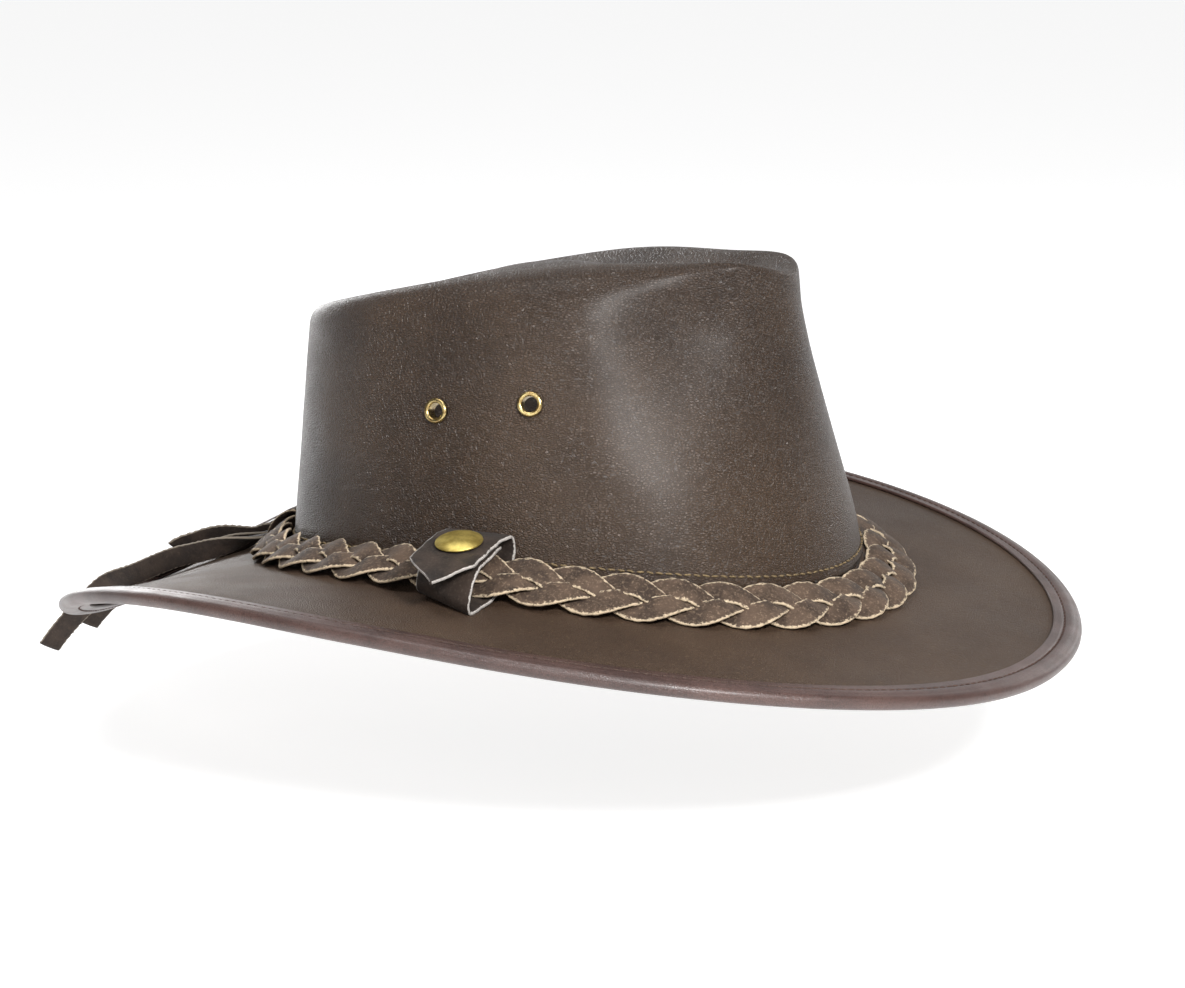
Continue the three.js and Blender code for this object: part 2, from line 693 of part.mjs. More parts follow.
function crownWithHoles() {
  const cutters = eyelets.map(({ point, axis }) => standing(
    new THREE.CylinderGeometry(eyeletBarrel + gap, eyeletBarrel + gap, leather * 5, roundFacets),
    point.clone(), axis));
  return cutAway(crownSolid(), cutters);
}

const finish = (color, roughness, metalness) =>
  new THREE.MeshStandardMaterial({ color, roughness, metalness });
const crownLeather = finish(0x443a34, 0.5, 0);
const brimLeather = finish(0x584c42, 0.6, 0);
const bindingFinish = finish(0x453a3c, 0.45, 0);
const suede = finish(0x6a5d54, 0.8, 0);
const darkStrap = finish(0x2d2624, 0.45, 0);
const brass = finish(0x9a8c46, 0.3, 1);

const hat = new THREE.Group();
function add(name, geometry, material, point = new THREE.Vector3(), axis = new THREE.Vector3(0, 1, 0)) {
  const mesh = new THREE.Mesh(geometry, material);
  mesh.name = name;
  mesh.position.copy(point);
  mesh.quaternion.setFromUnitVectors(new THREE.Vector3(0, 1, 0), axis);
  hat.add(mesh);
}

add('crown', crownWithHoles(), crownLeather);
add('brim', brimSolid(), brimLeather);
add('brim_binding', bindingSolid(), bindingFinish);
[1, 2, 3].forEach((number) => add(`braid_strand_${number}`, strandSolid(number), suede));
add('braid_wrap', wrapSolid(), suede);
tailRoutes.forEach((route, i) => add(`tail_${i + 1}`, tailSolid(route, i), suede));
add('keeper_strap', keeperSolid(), darkStrap);
add('snap_cap', capSolid(), brass, keeperPlane.place(capOut, flapUp(capOut)), capAxis);
eyelets.forEach(({ name, point, axis }) => add(name, eyeletSolid(), brass, point, axis));

export default hat;
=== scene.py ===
import math
import bpy
import numpy as np
from mathutils import Matrix, Vector


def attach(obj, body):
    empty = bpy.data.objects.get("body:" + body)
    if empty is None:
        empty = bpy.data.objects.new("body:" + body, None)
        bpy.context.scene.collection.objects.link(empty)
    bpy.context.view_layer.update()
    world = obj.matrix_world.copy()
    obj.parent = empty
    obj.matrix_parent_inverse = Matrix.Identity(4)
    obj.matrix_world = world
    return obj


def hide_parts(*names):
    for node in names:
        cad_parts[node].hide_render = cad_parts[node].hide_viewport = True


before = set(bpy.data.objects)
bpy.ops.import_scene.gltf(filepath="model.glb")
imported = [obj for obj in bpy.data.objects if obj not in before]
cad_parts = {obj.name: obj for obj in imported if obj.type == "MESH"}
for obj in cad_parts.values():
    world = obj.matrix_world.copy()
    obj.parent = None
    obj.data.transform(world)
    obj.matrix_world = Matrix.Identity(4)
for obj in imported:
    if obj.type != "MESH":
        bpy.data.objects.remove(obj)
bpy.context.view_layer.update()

mm = 0.001
pi = math.pi
turnFull = 2 * math.pi

# The hat's frame: +X front, +Y the wearer's left, +Z up, origin at the middle of the head opening.
# Shapes are worked out in millimetres and written to the meshes in metres.
# A bearing runs from 0 at the front to pi at the back.


# Camera, for a picture of 1185 by 988
camera = {
    "azimuth": 24.42, "elevation": 14.02, "distance": 1101.84, "focalPixels": 3158.61,
    "originPixel": (575.14, 529.26), "picture": (1185, 988), "sensor": 36.0,
}


def makeCamera(c):
    # Turned by azimuth, then elevation; the shift puts the origin on its pixel
    a, e = math.radians(c["azimuth"]), math.radians(c["elevation"])
    back = Vector((math.sin(a) * math.cos(e), -math.cos(a) * math.cos(e), math.sin(e)))
    right = Vector((math.cos(a), math.sin(a), 0))
    wide, high = c["picture"]
    data = bpy.data.cameras.new("viewCamera")
    data.sensor_width = c["sensor"]
    data.lens = c["focalPixels"] / wide * c["sensor"]
    data.shift_x = (wide / 2 - c["originPixel"][0]) / wide
    data.shift_y = (c["originPixel"][1] - high / 2) / wide
    data.clip_start = 0.05
    data.clip_end = 30
    obj = bpy.data.objects.new("viewCamera", data)
    turned = Matrix((right, back.cross(right), back)).transposed().to_4x4()
    obj.matrix_world = Matrix.Translation(back * c["distance"] * mm) @ turned
    bpy.context.collection.objects.link(obj)
    bpy.context.scene.camera = obj


makeCamera(camera)
print("camera set")


# Curves through tables
def evenCurve(rows, angle):
    # Sum of cosines round the hat that passes through rows at equal bearings from front to back
    rows = np.array(rows, float)
    last = len(rows) - 1
    step = np.arange(last + 1)
    ends = np.where(step % last == 0, 0.5, 1.0)
    waves = np.cos(np.outer(step, step) * pi / last) @ (rows * ends) * 2 * ends / last
    return np.cos(np.asarray(angle, float)[..., None] * step) @ waves


def throughRows(at, marks, values):
    # Cubic pieces through the values, whose slope at each mark is that of its two neighbours.
    # Values may be numbers, points or whole rows of points.
    marks = np.asarray(marks, float)
    values = np.asarray(values, float)
    low = np.maximum(np.arange(len(marks)) - 1, 0)
    high = np.minimum(np.arange(len(marks)) + 1, len(marks) - 1)
    tail = (1,) * (values.ndim - 1)
    slopes = (values[high] - values[low]) / (marks[high] - marks[low]).reshape(-1, *tail)
    at = np.asarray(at, float)
    i = np.clip(np.searchsorted(marks, at, side="right") - 1, 0, len(marks) - 2)
    span = marks[i + 1] - marks[i]
    s = (at - marks[i]) / span
    shape = at.shape + tail
    s, span = s.reshape(shape), span.reshape(shape)
    start = values[i] * (1 + 2 * s) * (1 - s) ** 2 + slopes[i] * span * s * (1 - s) ** 2
    return start + values[i + 1] * s * s * (3 - 2 * s) + slopes[i + 1] * span * s * s * (s - 1)


def alongPath(points, count):
    # Points evenly spaced by length along a smooth curve through the given points
    points = np.asarray(points, float)
    marks = np.concatenate([[0], np.cumsum(np.linalg.norm(np.diff(points, axis=0), axis=1) ** 0.5)])
    fine = throughRows(np.linspace(0, marks[-1], 800), marks, points)
    length = np.concatenate([[0], np.cumsum(np.linalg.norm(np.diff(fine, axis=0), axis=1))])
    at = np.interp(np.linspace(0, length[-1], count), length, np.linspace(0, marks[-1], 800))
    return throughRows(at, marks, points)


def xyz(x, y, z):
    return np.stack(np.broadcast_arrays(x, y, z), axis=-1).astype(float)


def unit(v):
    # Divides each vector by its own length
    return v / np.maximum(np.linalg.norm(v, axis=-1, keepdims=True), 1e-12)


def ease(a, b, at):
    # Smooth step from 0 at a to 1 at b: 3 s squared less 2 s cubed
    s = np.clip((at - a) / (b - a), 0, 1)
    return s * s * (3 - 2 * s)


def ripple(x, y, seed, size):
    # Soft unevenness between about -1 and 1: crossed sines of uneven pitch, the same every run
    a = np.sin(x / size * 1.7 + seed) * np.cos(y / size * 2.3 - seed * 1.3)
    b = np.sin((x + y * 0.7) / size * 3.1 + seed * 2.1) * np.cos((y - x * 0.4) / size * 2.7 + seed)
    return 0.6 * a + 0.4 * b


# Meshes
def meshObject(name, points, faces, materials, uv=None, flat=()):
    # Mesh in metres from points in millimetres; the flat faces get no smooth shading
    mesh = bpy.data.meshes.new(name)
    mesh.from_pydata((np.asarray(points) * mm).tolist(), [], [list(map(int, f)) for f in faces])
    for material in materials:
        mesh.materials.append(material)
    smooth = np.ones(len(mesh.polygons), bool)
    smooth[list(flat)] = False
    mesh.polygons.foreach_set("use_smooth", smooth)
    if uv is not None:
        layer = mesh.uv_layers.new(name="UVMap")
        corners = np.empty(len(mesh.loops), np.int32)
        mesh.loops.foreach_get("vertex_index", corners)
        layer.data.foreach_set("uv", np.asarray(uv, float)[corners].ravel())
    mesh.update()
    obj = bpy.data.objects.new(name, mesh)
    bpy.context.collection.objects.link(obj)
    return obj


def gridFaces(rows, columns, joinRows, joinColumns):
    # Quads over a grid: each joins a point to its neighbours along the row and the column
    i, j = np.meshgrid(np.arange(rows if joinRows else rows - 1),
                       np.arange(columns if joinColumns else columns - 1), indexing="ij")
    a = i * columns + j
    b = i * columns + (j + 1) % columns
    c = ((i + 1) % rows) * columns + (j + 1) % columns
    d = ((i + 1) % rows) * columns + j
    return np.stack([a, b, c, d], -1).reshape(-1, 4)


def facingOut(points, quads):
    # Whether the skin's signed volume, a sum of a . (b x c) over its triangles, is positive
    a, b, c, d = (points[quads[:, k]] for k in range(4))
    return np.sum(a * np.cross(b, c)) + np.sum(a * np.cross(c, d)) > 0


def sweep(name, rings, closed, materials, uv=None):
    # Closed skin over rings of points: the rings join up, or one flat face shuts each end
    rows, columns = rings.shape[:2]
    points = rings.reshape(-1, 3)
    quads = gridFaces(rows, columns, closed, True)
    ends = []
    if not closed:
        ends = [list(range(columns - 1, -1, -1)), list(range((rows - 1) * columns, rows * columns))]
    faces = quads.tolist() + ends
    if not facingOut(points, quads):
        faces = [face[::-1] for face in faces]
    flat = range(len(quads), len(faces))
    return meshObject(name, points, faces, materials, None if uv is None else uv.reshape(-1, 2), flat)


def lathe(name, profile, rounds, point, axis, material, joined=False):
    # Closed turned shape: each [radius, height] pair goes round the axis through the point; a joined
    # profile comes back to its start and leaves a bore
    profile = np.array(profile, float)
    axis = unit(np.array(axis, float))
    side = unit(np.cross(axis, [0.0, 1.0, 0.0] if abs(axis[1]) < 0.9 else [1.0, 0, 0]))
    other = np.cross(axis, side)
    angle = np.arange(rounds) * turnFull / rounds
    around = np.cos(angle)[:, None] * side + np.sin(angle)[:, None] * other
    rings = (np.asarray(point, float) + profile[:, None, 1:] * axis
             + profile[:, None, :1] * around[None])
    return sweep(name, rings, joined, [material])


def finishPiece(obj, slotName, *nodes):
    # Every piece rides on the one body; it stands in for the nodes that are named
    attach(obj, "root")
    if nodes:
        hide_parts(*nodes)


# Materials
def nodeTools(name):
    # A material with one shader, and a function that adds a node with its settings and inputs
    material = bpy.data.materials.new(name)
    material.use_nodes = True
    tree = material.node_tree
    tree.nodes.clear()
    output = tree.nodes.new("ShaderNodeOutputMaterial")
    shader = tree.nodes.new("ShaderNodeBsdfPrincipled")
    tree.links.new(shader.outputs["BSDF"], output.inputs["Surface"])

    def add(kind, settings=None, **inputs):
        node = tree.nodes.new(kind)
        for key, value in (settings or {}).items():
            setattr(node, key, value)
        for key, value in inputs.items():
            slot = node.inputs[int(key[1:])] if key[0] == "i" and key[1:].isdigit() else node.inputs[key]
            if isinstance(value, bpy.types.NodeSocket):
                tree.links.new(value, slot)
            else:
                slot.default_value = value
        return node

    return material, tree, shader, add


def noise(add, place, scale, detail=4, rough=0.55, distort=0.0):
    return add("ShaderNodeTexNoise", Vector=place, Scale=scale, Detail=detail, Roughness=rough,
               Distortion=distort).outputs["Fac"]


def ramp(add, value, low, high, start=0.0, end=1.0):
    return add("ShaderNodeMapRange", {"interpolation_type": "SMOOTHSTEP"}, Value=value,
               i1=low, i2=high, i3=start, i4=end).outputs["Result"]


def mixColor(add, share, a, b, kind="MIX"):
    node = add("ShaderNodeMix", {"data_type": "RGBA", "blend_type": kind}, i0=share, i6=a, i7=b)
    return node.outputs[2]


def sums(add, kind, a, b):
    return add("ShaderNodeMath", {"operation": kind}, i0=a, i1=b).outputs[0]


def bumpFrom(add, height, strength, depth):
    return add("ShaderNodeBump", Strength=strength, Distance=depth, Height=height).outputs["Normal"]


def wire(tree, shader, **sockets):
    # Colour, roughness and normal that vary over the surface, into the shader
    for key, name in (("color", "Base Color"), ("rough", "Roughness"), ("normal", "Normal")):
        if key in sockets:
            tree.links.new(sockets[key], shader.inputs[name])


def rgb(r, g, b):
    # Linear colour from a display colour of 0 to 255
    def one(v):
        v /= 255
        return v / 12.92 if v <= 0.04045 else ((v + 0.055) / 1.055) ** 2.4
    return (one(r), one(g), one(b), 1)


# Shape of the hat, with the CAD's own sizes
hat = {
    "halfLength": 102.0, "halfBreadth": 84.0, "crownHeight": 102.0, "leather": 2.0, "gap": 0.3,
    "brimFront": 74.3, "brimBack": 81.5, "brimSide": 74.5, "squareness": 2.1, "brimDip": 44.0,
    "seamDip": 8.3, "neckDrop": 8.0, "neckReach": 16.0, "collar": 9.0, "brimLean": 0.02,
    "pinchDepth": 8.0, "valleyDepth": 6.5, "crownLean": 0.065, "middleAlong": -0.03,
    "middleRise": 0.925, "bindingLeather": 1.2, "pinchSideways": 1.2, "brimCurl": 1.2,
    "fall": (0.664, 0.403, 0.047, 0.324, 1.006),
    "seam": (-0.446, 0.194, 0.72, -0.194, -1.0),
    "neck": (1.0, 1.0, 0.72, 0.38, 0.4),
    "ridgeAlong": (0.775, 0.72, 0.56, 0.3, 0, -0.3, -0.58, -0.785, -0.85),
    "ridgeBreadth": (0.48, 0.5, 0.42, 0.464, 0.548, 0.67, 0.808, 0.93, 0.97),
    "ridgeRise": (0.951, 0.978, 0.984, 0.968, 0.938, 0.879, 0.814, 0.755, 0.735),
    "pinch": (0, 0.45, 0.8, 0.3, 0, 0, 0, 0, 0),
    "valley": (0.8, 1, 1, 0.95, 0.8, 0.6, 0.35, 0.1, 0),
}
# The crown's wall: climb, way in at the front, side and back, and the dent's share
wallRows = np.array([
    (0, 0, 0, 0, 0), (0.14, 0.14, 0.08, 0.1, 0), (0.3, 0.32, 0.18, 0.19, 0.1),
    (0.46, 0.48, 0.28, 0.28, 0.45), (0.62, 0.64, 0.38, 0.37, 0.85), (0.76, 0.79, 0.48, 0.43, 1),
    (0.87, 0.9, 0.58, 0.5, 0.8), (0.94, 0.94, 0.69, 0.56, 0.45), (0.985, 0.97, 0.83, 0.76, 0.15),
    (1, 1, 1, 1, 0)])
# The top: way in from the ridge to the middle, climb, and the valley's share
topRows = np.array([
    (0, 0, 0), (0.07, 0.02, 0.16), (0.18, 0.08, 0.55), (0.34, 0.25, 0.95), (0.54, 0.56, 0.8),
    (0.76, 0.86, 0.3), (1, 1, 0)])


def seamPoint(t):
    # Ellipse in plan; its height follows the seam table
    return xyz(hat["halfLength"] * np.cos(t), hat["halfBreadth"] * np.sin(t),
               hat["seamDip"] * evenCurve(hat["seam"], t))


def ridgePoint(t):
    # Table shares of half the length, half the breadth and the height; the left side leans lower
    side = hat["halfBreadth"] * evenCurve(hat["ridgeBreadth"], t) * np.sin(t)
    rise = hat["crownHeight"] * evenCurve(hat["ridgeRise"], t) - hat["crownLean"] * side
    return xyz(hat["halfLength"] * evenCurve(hat["ridgeAlong"], t), side, rise)


def wallPoint(t, climb):
    # From the seam to the ridge: z goes by climb, x and y by a share mixed from the front, side and
    # back columns as cos squared of the bearing, then the dent pushes the point in
    t, climb = np.broadcast_arrays(np.asarray(t, float), np.asarray(climb, float))
    rows = throughRows(climb, wallRows[:, 0], wallRows[:, 1:])
    ahead = np.maximum(np.cos(t), 0) ** 2
    behind = np.maximum(-np.cos(t), 0) ** 2
    way = rows[..., 0] * ahead + rows[..., 2] * behind + rows[..., 1] * (1 - ahead - behind)
    base, ridge = seamPoint(t), ridgePoint(t)
    point = base + (ridge - base) * way[..., None]
    point[..., 2] = base[..., 2] + (ridge[..., 2] - base[..., 2]) * climb
    dent = hat["pinchDepth"] * evenCurve(hat["pinch"], t) * rows[..., 3]
    return point + unit(xyz(-np.cos(t), -hat["pinchSideways"] * np.sin(t), 0)) * dent[..., None]


def topPoint(t, inward):
    # From the ridge to the middle: x and y straight in, z by its own climb less the valley's depth
    t, inward = np.broadcast_arrays(np.asarray(t, float), np.asarray(inward, float))
    rows = throughRows(inward, topRows[:, 0], topRows[:, 1:])
    ridge = ridgePoint(t)
    middle = np.array([hat["halfLength"] * hat["middleAlong"], 0,
                       hat["crownHeight"] * hat["middleRise"]])
    point = ridge + (middle - ridge) * inward[..., None]
    point[..., 2] = (ridge[..., 2] + (middle[2] - ridge[..., 2]) * rows[..., 0]
                     - hat["valleyDepth"] * evenCurve(hat["valley"], t) * rows[..., 1])
    return point


def edgePoint(t):
    # Squared ellipse in plan; its height follows the fall table and leans a little to the left
    c, s = np.cos(t), np.sin(t)
    power = 2 / hat["squareness"]
    half = hat["halfLength"] + (hat["brimFront"] + hat["brimBack"]) / 2
    side = hat["halfBreadth"] + hat["brimSide"]
    thick = hat["leather"] + 2 * (hat["bindingLeather"] + hat["gap"])
    return xyz((hat["brimFront"] - hat["brimBack"]) / 2 + half * np.sign(c) * np.abs(c) ** power,
               side * np.sign(s) * np.abs(s) ** power,
               -hat["brimDip"] * evenCurve(hat["fall"], t) + thick / 4 - hat["brimLean"] * side * s)


def planeAt(t):
    # The upright plane through the seam and the brim's edge at a bearing
    base, edge = seamPoint(t), edgePoint(t)
    away = edge - base
    away[..., 2] = 0
    reach = np.linalg.norm(away, axis=-1)
    return base, edge, away / reach[..., None], reach


def brimTop(t, out):
    # Falls by the neck's drop as a parabola, and runs on to the edge as a power of out / reach
    base, edge, _, reach = planeAt(t)
    near = np.minimum(out / hat["neckReach"], 1)
    drop = hat["neckDrop"] * evenCurve(hat["neck"], t)
    run = edge[..., 2] - base[..., 2] + drop + hat["gap"]
    return (base[..., 2] - hat["gap"] - drop * (1 - (1 - near) ** 2)
            + run * np.maximum(out / reach, 0) ** hat["brimCurl"])


def inPlane(t, out, up):
    # Point in a bearing's plane, at a distance out from the seam and a height
    base, _, away, _ = planeAt(t)
    point = base + away * np.asarray(out)[..., None]
    point[..., 2] = up
    return point


def wallOut(t, rise):
    # How far out from the seam the crown's wall stands at a height over it, below 0 where it is in
    base, _, away, _ = planeAt(t)
    climb = rise / (ridgePoint(t)[..., 2] - base[..., 2])
    return np.sum((wallPoint(t, climb) - base) * away, axis=-1)


def wallSpot(side, along, up):
    # Point and outward direction on the crown's wall at a distance along X and a height
    t, climb = side * math.acos(along / hat["halfLength"]), up / hat["crownHeight"]
    for _ in range(40):
        point = wallPoint(t, climb)
        climb += (up - point[2]) / hat["crownHeight"]
        t += side * (point[0] - along) / hat["halfLength"]
    around = wallPoint(t + 0.02, climb) - wallPoint(t - 0.02, climb)
    rise = wallPoint(t, climb + 0.02) - wallPoint(t, climb - 0.02)
    return wallPoint(t, climb), unit(np.cross(around, rise))


# Leather and metal
def leather(name, look):
    # Pebbled grain: the distance to the cell borders of a stretched cell pattern drives the bump and
    # paints shade into the creases, slow noise moves the colour and the roughness, and fine pale dots are
    # painted glints on the grain
    material, tree, shader, add = nodeTools(name)
    place = add("ShaderNodeTexCoord").outputs["Object"]
    slow = noise(add, place, look["patch"], 5, 0.6)
    place = add("ShaderNodeMapping", Vector=place, Scale=(1, 1, look["flatten"])).outputs["Vector"]
    fine = noise(add, place, look["grain"] * 0.6, 5, 0.7)
    cells = add("ShaderNodeTexVoronoi", {"feature": "DISTANCE_TO_EDGE"}, Vector=place,
                Scale=look["grain"], Randomness=1.0).outputs["Distance"]
    pebble = ramp(add, cells, 0.0, 0.28)
    color = mixColor(add, ramp(add, slow, 0.32, 0.68), rgb(*look["dark"]), rgb(*look["light"]))
    color = mixColor(add, ramp(add, fine, 0.35, 0.75, 0, look["grainTone"]), color, rgb(*look["light"]))
    # Painted shade: the creases between the pebbles are darkened towards the crease colour
    color = mixColor(add, ramp(add, cells, 0.12, 0.02, 0, look["creaseShadeTone"]), color, rgb(*look["creaseShade"]))
    # Painted highlight: fine pale dots stand for glints of light on the grain
    glintDots = noise(add, place, look["glintScale"], 2, 0.5)
    paintedGlint = ramp(add, glintDots, look["glintFrom"], look["glintFrom"] + look["glintWidth"], 0, look["glintTone"])
    color = mixColor(add, paintedGlint, color, rgb(*look["paintedGlint"]))
    rough = ramp(add, noise(add, place, look["patch"] * 2.3, 4), 0.3, 0.7, look["rough"][0], look["rough"][1])
    height = sums(add, "ADD", sums(add, "MULTIPLY", pebble, look["pebble"]),
                  sums(add, "MULTIPLY", fine, look["tooth"]))
    wire(tree, shader, color=color, rough=rough, normal=bumpFrom(add, height, look["bump"], look["depth"]))
    shader.inputs["Specular IOR Level"].default_value = look["specular"]
    shader.inputs["Coat Weight"].default_value = look["coat"]
    shader.inputs["Coat Roughness"].default_value = look["coatRough"]
    return material


# The crease colour is painted shade in the grain's creases
crownLook = {
    # The pale dot colour and its settings make painted glints on the grain
    "dark": (46, 33, 24), "light": (74, 57, 43), "creaseShade": (20, 14, 11), "paintedGlint": (128, 108, 86),
    "patch": 16, "grain": 800, "flatten": 1.8, "grainTone": 0.55, "creaseShadeTone": 0.55,
    "glintScale": 1100, "glintFrom": 0.69, "glintWidth": 0.05, "glintTone": 0.4,
    "rough": (0.34, 0.42), "pebble": 0.7, "tooth": 0.7, "bump": 1.0, "depth": 0.0005,
    "specular": 0.46, "coat": 0.08, "coatRough": 0.3,
}
brimLook = dict(crownLook, dark=(62, 46, 34), light=(80, 62, 47), patch=14, grain=1100, flatten=1,
                creaseShadeTone=0.35, glintFrom=0.65, rough=(0.5, 0.6), bump=0.5, specular=0.45, coat=0.0)
bindingLook = dict(crownLook, dark=(62, 43, 39), light=(90, 67, 61), patch=40, grain=1500, flatten=1,
                   glintTone=0.0, rough=(0.34, 0.46), bump=0.35, depth=0.0003, specular=0.5,
                   coat=0.35, coatRough=0.35)

crownMaterial = leather("crownLeather", crownLook)
brimMaterial = leather("brimLeather", brimLook)
bindingMaterial = leather("bindingLeather", bindingLook)


def cutLeather(name, look):
    # Strap leather: u runs across the strip, so the distance to 0 or 1 gives the pale cut edges,
    # which noise makes ragged; the pale parts are rougher
    material, tree, shader, add = nodeTools(name)
    place = add("ShaderNodeTexCoord").outputs["Object"]
    split = add("ShaderNodeSeparateXYZ", Vector=add("ShaderNodeUVMap", {"uv_map": "UVMap"}).outputs["UV"])
    across = split.outputs[0]
    toEdge = sums(add, "SUBTRACT", 0.5, add("ShaderNodeMath", {"operation": "ABSOLUTE"},
                  i0=sums(add, "SUBTRACT", across, 0.5)).outputs[0])
    frayed = sums(add, "ADD", toEdge, sums(add, "MULTIPLY", sums(add, "SUBTRACT",
                  noise(add, place, look["fray"], 4, 0.7), 0.5), look["frayReach"]))
    pale = ramp(add, frayed, look["edge"], look["edge"] * 0.25)
    slow = noise(add, place, look["patch"], 4, 0.6)
    fine = noise(add, place, look["grain"], 5, 0.75)
    color = mixColor(add, ramp(add, slow, 0.32, 0.68), rgb(*look["dark"]), rgb(*look["light"]))
    nap = ramp(add, fine, 0.5, 0.72, 0, look["napTone"])
    color = mixColor(add, nap, color, rgb(*look["nap"]))
    color = mixColor(add, sums(add, "MULTIPLY", pale, look["edgeTone"]), color, rgb(*look["edgeColor"]))
    rough = ramp(add, pale, 0, 1, look["rough"], 0.9)
    wire(tree, shader, color=color, rough=rough, normal=bumpFrom(add, fine, look["bump"], look["depth"]))
    shader.inputs["Specular IOR Level"].default_value = look["specular"]
    shader.inputs["Sheen Weight"].default_value = look["sheen"]
    return material


braidLook = {
    "dark": (52, 40, 32), "light": (88, 71, 58), "nap": (150, 128, 106), "edgeColor": (214, 194, 164),
    "patch": 120, "grain": 1000, "fray": 900, "frayReach": 0.4, "edge": 0.085, "edgeTone": 0.8,
    "napTone": 0.7, "rough": 0.7, "bump": 0.8, "depth": 0.0004, "specular": 0.3, "sheen": 0.05,
}
strapLook = dict(braidLook, dark=(34, 27, 23), light=(60, 49, 42), nap=(104, 92, 82), napTone=0.4,
                 edgeColor=(196, 190, 184), edge=0.016, frayReach=0.07, rough=0.55, bump=0.4)
# The loose ends get a darker copy of the plait's leather: painted shade on the same leather as the plait
shadedTailLook = dict(braidLook, dark=(38, 29, 24), light=(60, 48, 40), nap=(104, 88, 74), napTone=0.25,
                edgeColor=(170, 158, 142), edge=0.05, frayReach=0.08, edgeTone=0.6)
braidMaterial = cutLeather("braidLeather", braidLook)
strapMaterial = cutLeather("strapLeather", strapLook)
shadedTailMaterial = cutLeather("shadedTailLeather", shadedTailLook)


def metal(name, look):
    # Aged metal: slow noise darkens it in patches, fine noise scratches the roughness
    material, tree, shader, add = nodeTools(name)
    place = add("ShaderNodeTexCoord").outputs["Object"]
    slow = noise(add, place, look["patch"], 5, 0.65)
    fine = noise(add, place, look["scratch"], 4, 0.7, 0.4)
    color = mixColor(add, ramp(add, slow, 0.35, 0.7), rgb(*look["color"]), rgb(*look["stain"]))
    rough = ramp(add, fine, 0.3, 0.7, look["rough"][0], look["rough"][1])
    wire(tree, shader, color=color, rough=rough, normal=bumpFrom(add, fine, look["bump"], look["depth"]))
    shader.inputs["Metallic"].default_value = 1.0
    return material


capLook = {"color": (222, 202, 120), "stain": (176, 154, 82), "patch": 260, "scratch": 1800,
           "rough": (0.46, 0.58), "bump": 0.25, "depth": 0.00008}
eyeletLook = dict(capLook, color=(206, 186, 130), stain=(150, 122, 78), patch=420, scratch=2400,
                  rough=(0.22, 0.36))
capMaterial = metal("capBrass", capLook)
eyeletMaterial = metal("eyeletBrass", eyeletLook)


threadLook = {"twist": 2600, "shade": 0.6, "bump": 0.4, "depth": 0.0001, "rough": 0.75}


def thread(name, color, look):
    # Waxed thread: fine noise for its twist darkens the colour and drives the bump
    material, tree, shader, add = nodeTools(name)
    place = add("ShaderNodeTexCoord").outputs["Object"]
    twist = noise(add, place, look["twist"], 3, 0.6)
    shade = rgb(*[v * look["shade"] for v in color])
    wire(tree, shader, color=mixColor(add, ramp(add, twist, 0.35, 0.7), shade, rgb(*color)),
         normal=bumpFrom(add, twist, look["bump"], look["depth"]))
    shader.inputs["Roughness"].default_value = look["rough"]
    return material


brimThread = thread("brimThread", (96, 72, 62), threadLook)
seamThread = thread("seamThread", (142, 120, 84), threadLook)
print("materials made")


# Crown: outer and inner face on one grid, joined at the lower edge, with the eyelets' holes
crownGrid = {
    "bearings": 360, "wall": 84, "top": 40, "wallPower": 1.15, "topPower": 1.2, "topReach": 0.985,
    "soft": 3.0, "softRounds": 6, "holeRadius": 3.25, "holeDepth": 9.0, "wave": 0.35, "waveLength": 34.0,
}
eyelet = {
    "outer": 8.4, "hole": 5.1, "wall": 0.5, "roll": 0.75, "spacing": 32.4, "middle": -1.0, "height": 56.6,
    "climb": 4.4,
}
eyeletSpots = {
    "eyelet_" + sideName + "_" + endName: wallSpot(
        side, eyelet["middle"] + end * eyelet["spacing"], eyelet["height"] + end * eyelet["climb"])
    for sideName, side in (("right", -1), ("left", 1)) for endName, end in (("back", -0.5), ("front", 0.5))}


def crownFace(c):
    # Rows of wall points from the seam to the ridge, then of top points in towards the middle, at
    # equal bearings; powers draw the rows together near the ridge
    t = np.arange(c["bearings"]) * turnFull / c["bearings"]
    climb = 1 - (1 - np.linspace(0, 1, c["wall"])) ** c["wallPower"]
    inward = np.linspace(0, 1, c["top"] + 1)[1:] ** c["topPower"] * c["topReach"]
    outer = np.concatenate([wallPoint(t[None], climb[:, None]), topPoint(t[None], inward[:, None])])
    # Rounds the ridge: a mean over neighbouring rows, strongest at the ridge
    near = np.exp(-((np.arange(len(outer)) - c["wall"] + 1) / c["soft"]) ** 2)[:, None, None]
    for _ in range(c["softRounds"]):
        mean = outer.copy()
        mean[1:-1] = (outer[:-2] + outer[1:-1] * 2 + outer[2:]) / 4
        outer = outer + (mean - outer) * near

    def facing(face):
        around = np.roll(face, -1, axis=1) - np.roll(face, 1, axis=1)
        return unit(np.cross(around, np.gradient(face, axis=0)))

    # Handled leather isn't quite even: it swells and sinks slowly
    wave = ripple(outer[..., 0] + outer[..., 1] * 0.4, outer[..., 2] * 1.3, 1.9, c["waveLength"])
    outer = outer + facing(outer) * (wave * c["wave"])[..., None]
    return outer, facing(outer)


